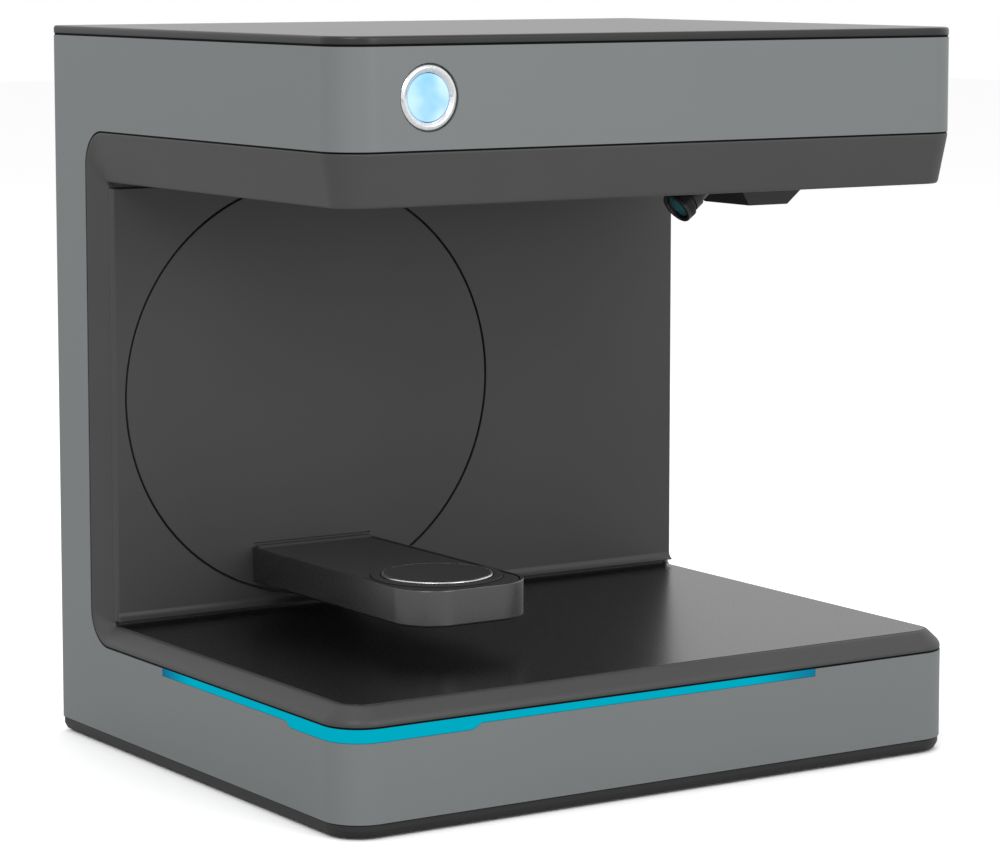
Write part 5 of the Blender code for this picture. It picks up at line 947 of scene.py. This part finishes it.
def dress_the_rest():
    slots = {part["node"]: part["material_slot"] for part in FRAME["record"]["subparts"]}
    for name, item in FRAME["nodes"].items():
        item.data.materials.clear()
        item.data.materials.append(MATERIALS[slots[name]])
        if not item.data.polygons[0].use_smooth:
            item.data.shade_smooth()
        item.data.set_sharp_from_angle(angle=math.radians(35))


# Studio

def make_floor():
    """A pale floor: the camera sees it as white with the object's shadow on it."""
    cast_light, seen_white = (0.75, 0.75, 0.75), (1.55, 1.55, 1.55)
    bpy.ops.mesh.primitive_plane_add(size=12, location=(0, 2.0, 0))
    floor = bpy.context.object
    floor.name = "studio_floor"
    material = bpy.data.materials.new("studio_floor")
    material.use_nodes = True
    tree = material.node_tree
    shader = tree.nodes["Principled BSDF"]
    shader.inputs["Roughness"].default_value = 1.0
    shader.inputs["Specular IOR Level"].default_value = 0.0
    path = tree.nodes.new("ShaderNodeLightPath")
    colour = blend_colours(tree, path.outputs["Is Camera Ray"], cast_light, seen_white)
    tree.links.new(colour, shader.inputs["Base Color"])
    floor.data.materials.append(material)


def make_world():
    """White where it is seen, also in metal and glass, and a softer fill light elsewhere."""
    fill_strength = 0.62
    world = bpy.data.worlds.new("studio")
    world.use_nodes = True
    tree = world.node_tree
    background = tree.nodes["Background"]
    path = tree.nodes.new("ShaderNodeLightPath")
    seen = path.outputs["Is Camera Ray"]
    for name in ("Is Glossy Ray", "Is Transmission Ray"):
        both = tree.nodes.new("ShaderNodeMath")
        both.operation = "MAXIMUM"
        tree.links.new(seen, both.inputs[0])
        tree.links.new(path.outputs[name], both.inputs[1])
        seen = both.outputs["Value"]
    strength = tree.nodes.new("ShaderNodeMapRange")
    strength.inputs["To Min"].default_value = fill_strength
    strength.inputs["To Max"].default_value = 1.0
    tree.links.new(seen, strength.inputs["Value"])
    tree.links.new(strength.outputs["Result"], background.inputs["Strength"])
    background.inputs["Color"].default_value = (1, 1, 1, 1)
    bpy.context.scene.world = world


def add_light(name, place, aim, size, power):
    """A square lamp at a place in metres, turned to its aim, with its power in watts."""
    light = bpy.data.lights.new(name, "AREA")
    light.shape = "RECTANGLE"
    light.size = light.size_y = size
    light.energy = power
    item = bpy.data.objects.new(name, light)
    item.location = place
    direction = Vector(aim) - Vector(place)
    item.rotation_euler = direction.to_track_quat("-Z", "Y").to_euler()
    bpy.context.scene.collection.objects.link(item)


def make_studio():
    make_floor()
    make_world()
    add_light("key_light", (-1.6, -1.5, 1.5), (0, 0, 0.15), 1.1, 14)
    add_light("front_light", (0.5, -2.2, 0.9), (0, 0, 0.15), 1.0, 10)
    add_light("top_light", (0.1, 0.2, 2.2), (0, 0, 0.2), 1.6, 10)


def make_camera():
    """The photo's camera, found by fitting the machine's edges to it. Its place is in metres."""
    data = bpy.data.cameras.new("camera")
    data.sensor_width = 36
    data.lens = 127.82
    data.shift_x = 0.0020
    data.shift_y = -0.0592
    data.clip_end = 50
    camera = bpy.data.objects.new("camera", data)
    place = Vector((-0.9104, -1.39711, 0.3747))
    aim = Vector((-0.00214, 0, 0.17902))
    camera.location = place
    camera.rotation_euler = (aim - place).to_track_quat("-Z", "Y").to_euler()
    bpy.context.scene.collection.objects.link(camera)
    bpy.context.scene.camera = camera


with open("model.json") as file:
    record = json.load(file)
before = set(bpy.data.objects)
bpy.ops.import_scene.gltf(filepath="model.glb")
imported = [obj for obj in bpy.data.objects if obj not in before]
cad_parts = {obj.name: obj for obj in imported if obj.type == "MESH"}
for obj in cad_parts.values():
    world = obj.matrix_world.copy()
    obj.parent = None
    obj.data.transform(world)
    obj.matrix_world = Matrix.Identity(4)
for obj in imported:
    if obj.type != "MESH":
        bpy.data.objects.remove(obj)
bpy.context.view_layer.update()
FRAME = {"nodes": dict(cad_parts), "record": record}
MATERIALS = make_materials()
dress_the_rest()
make_shell()
make_liner()
make_panel()
make_deck()
make_seam_shadows()
make_lid()
make_pan()
make_light_strip()
make_status_light()
make_disc()
make_arm()
make_turntable()
make_lens("right")
make_lens("left")
make_hood()
make_studio()
make_camera()
bpy.context.scene.view_settings.view_transform = "Standard"
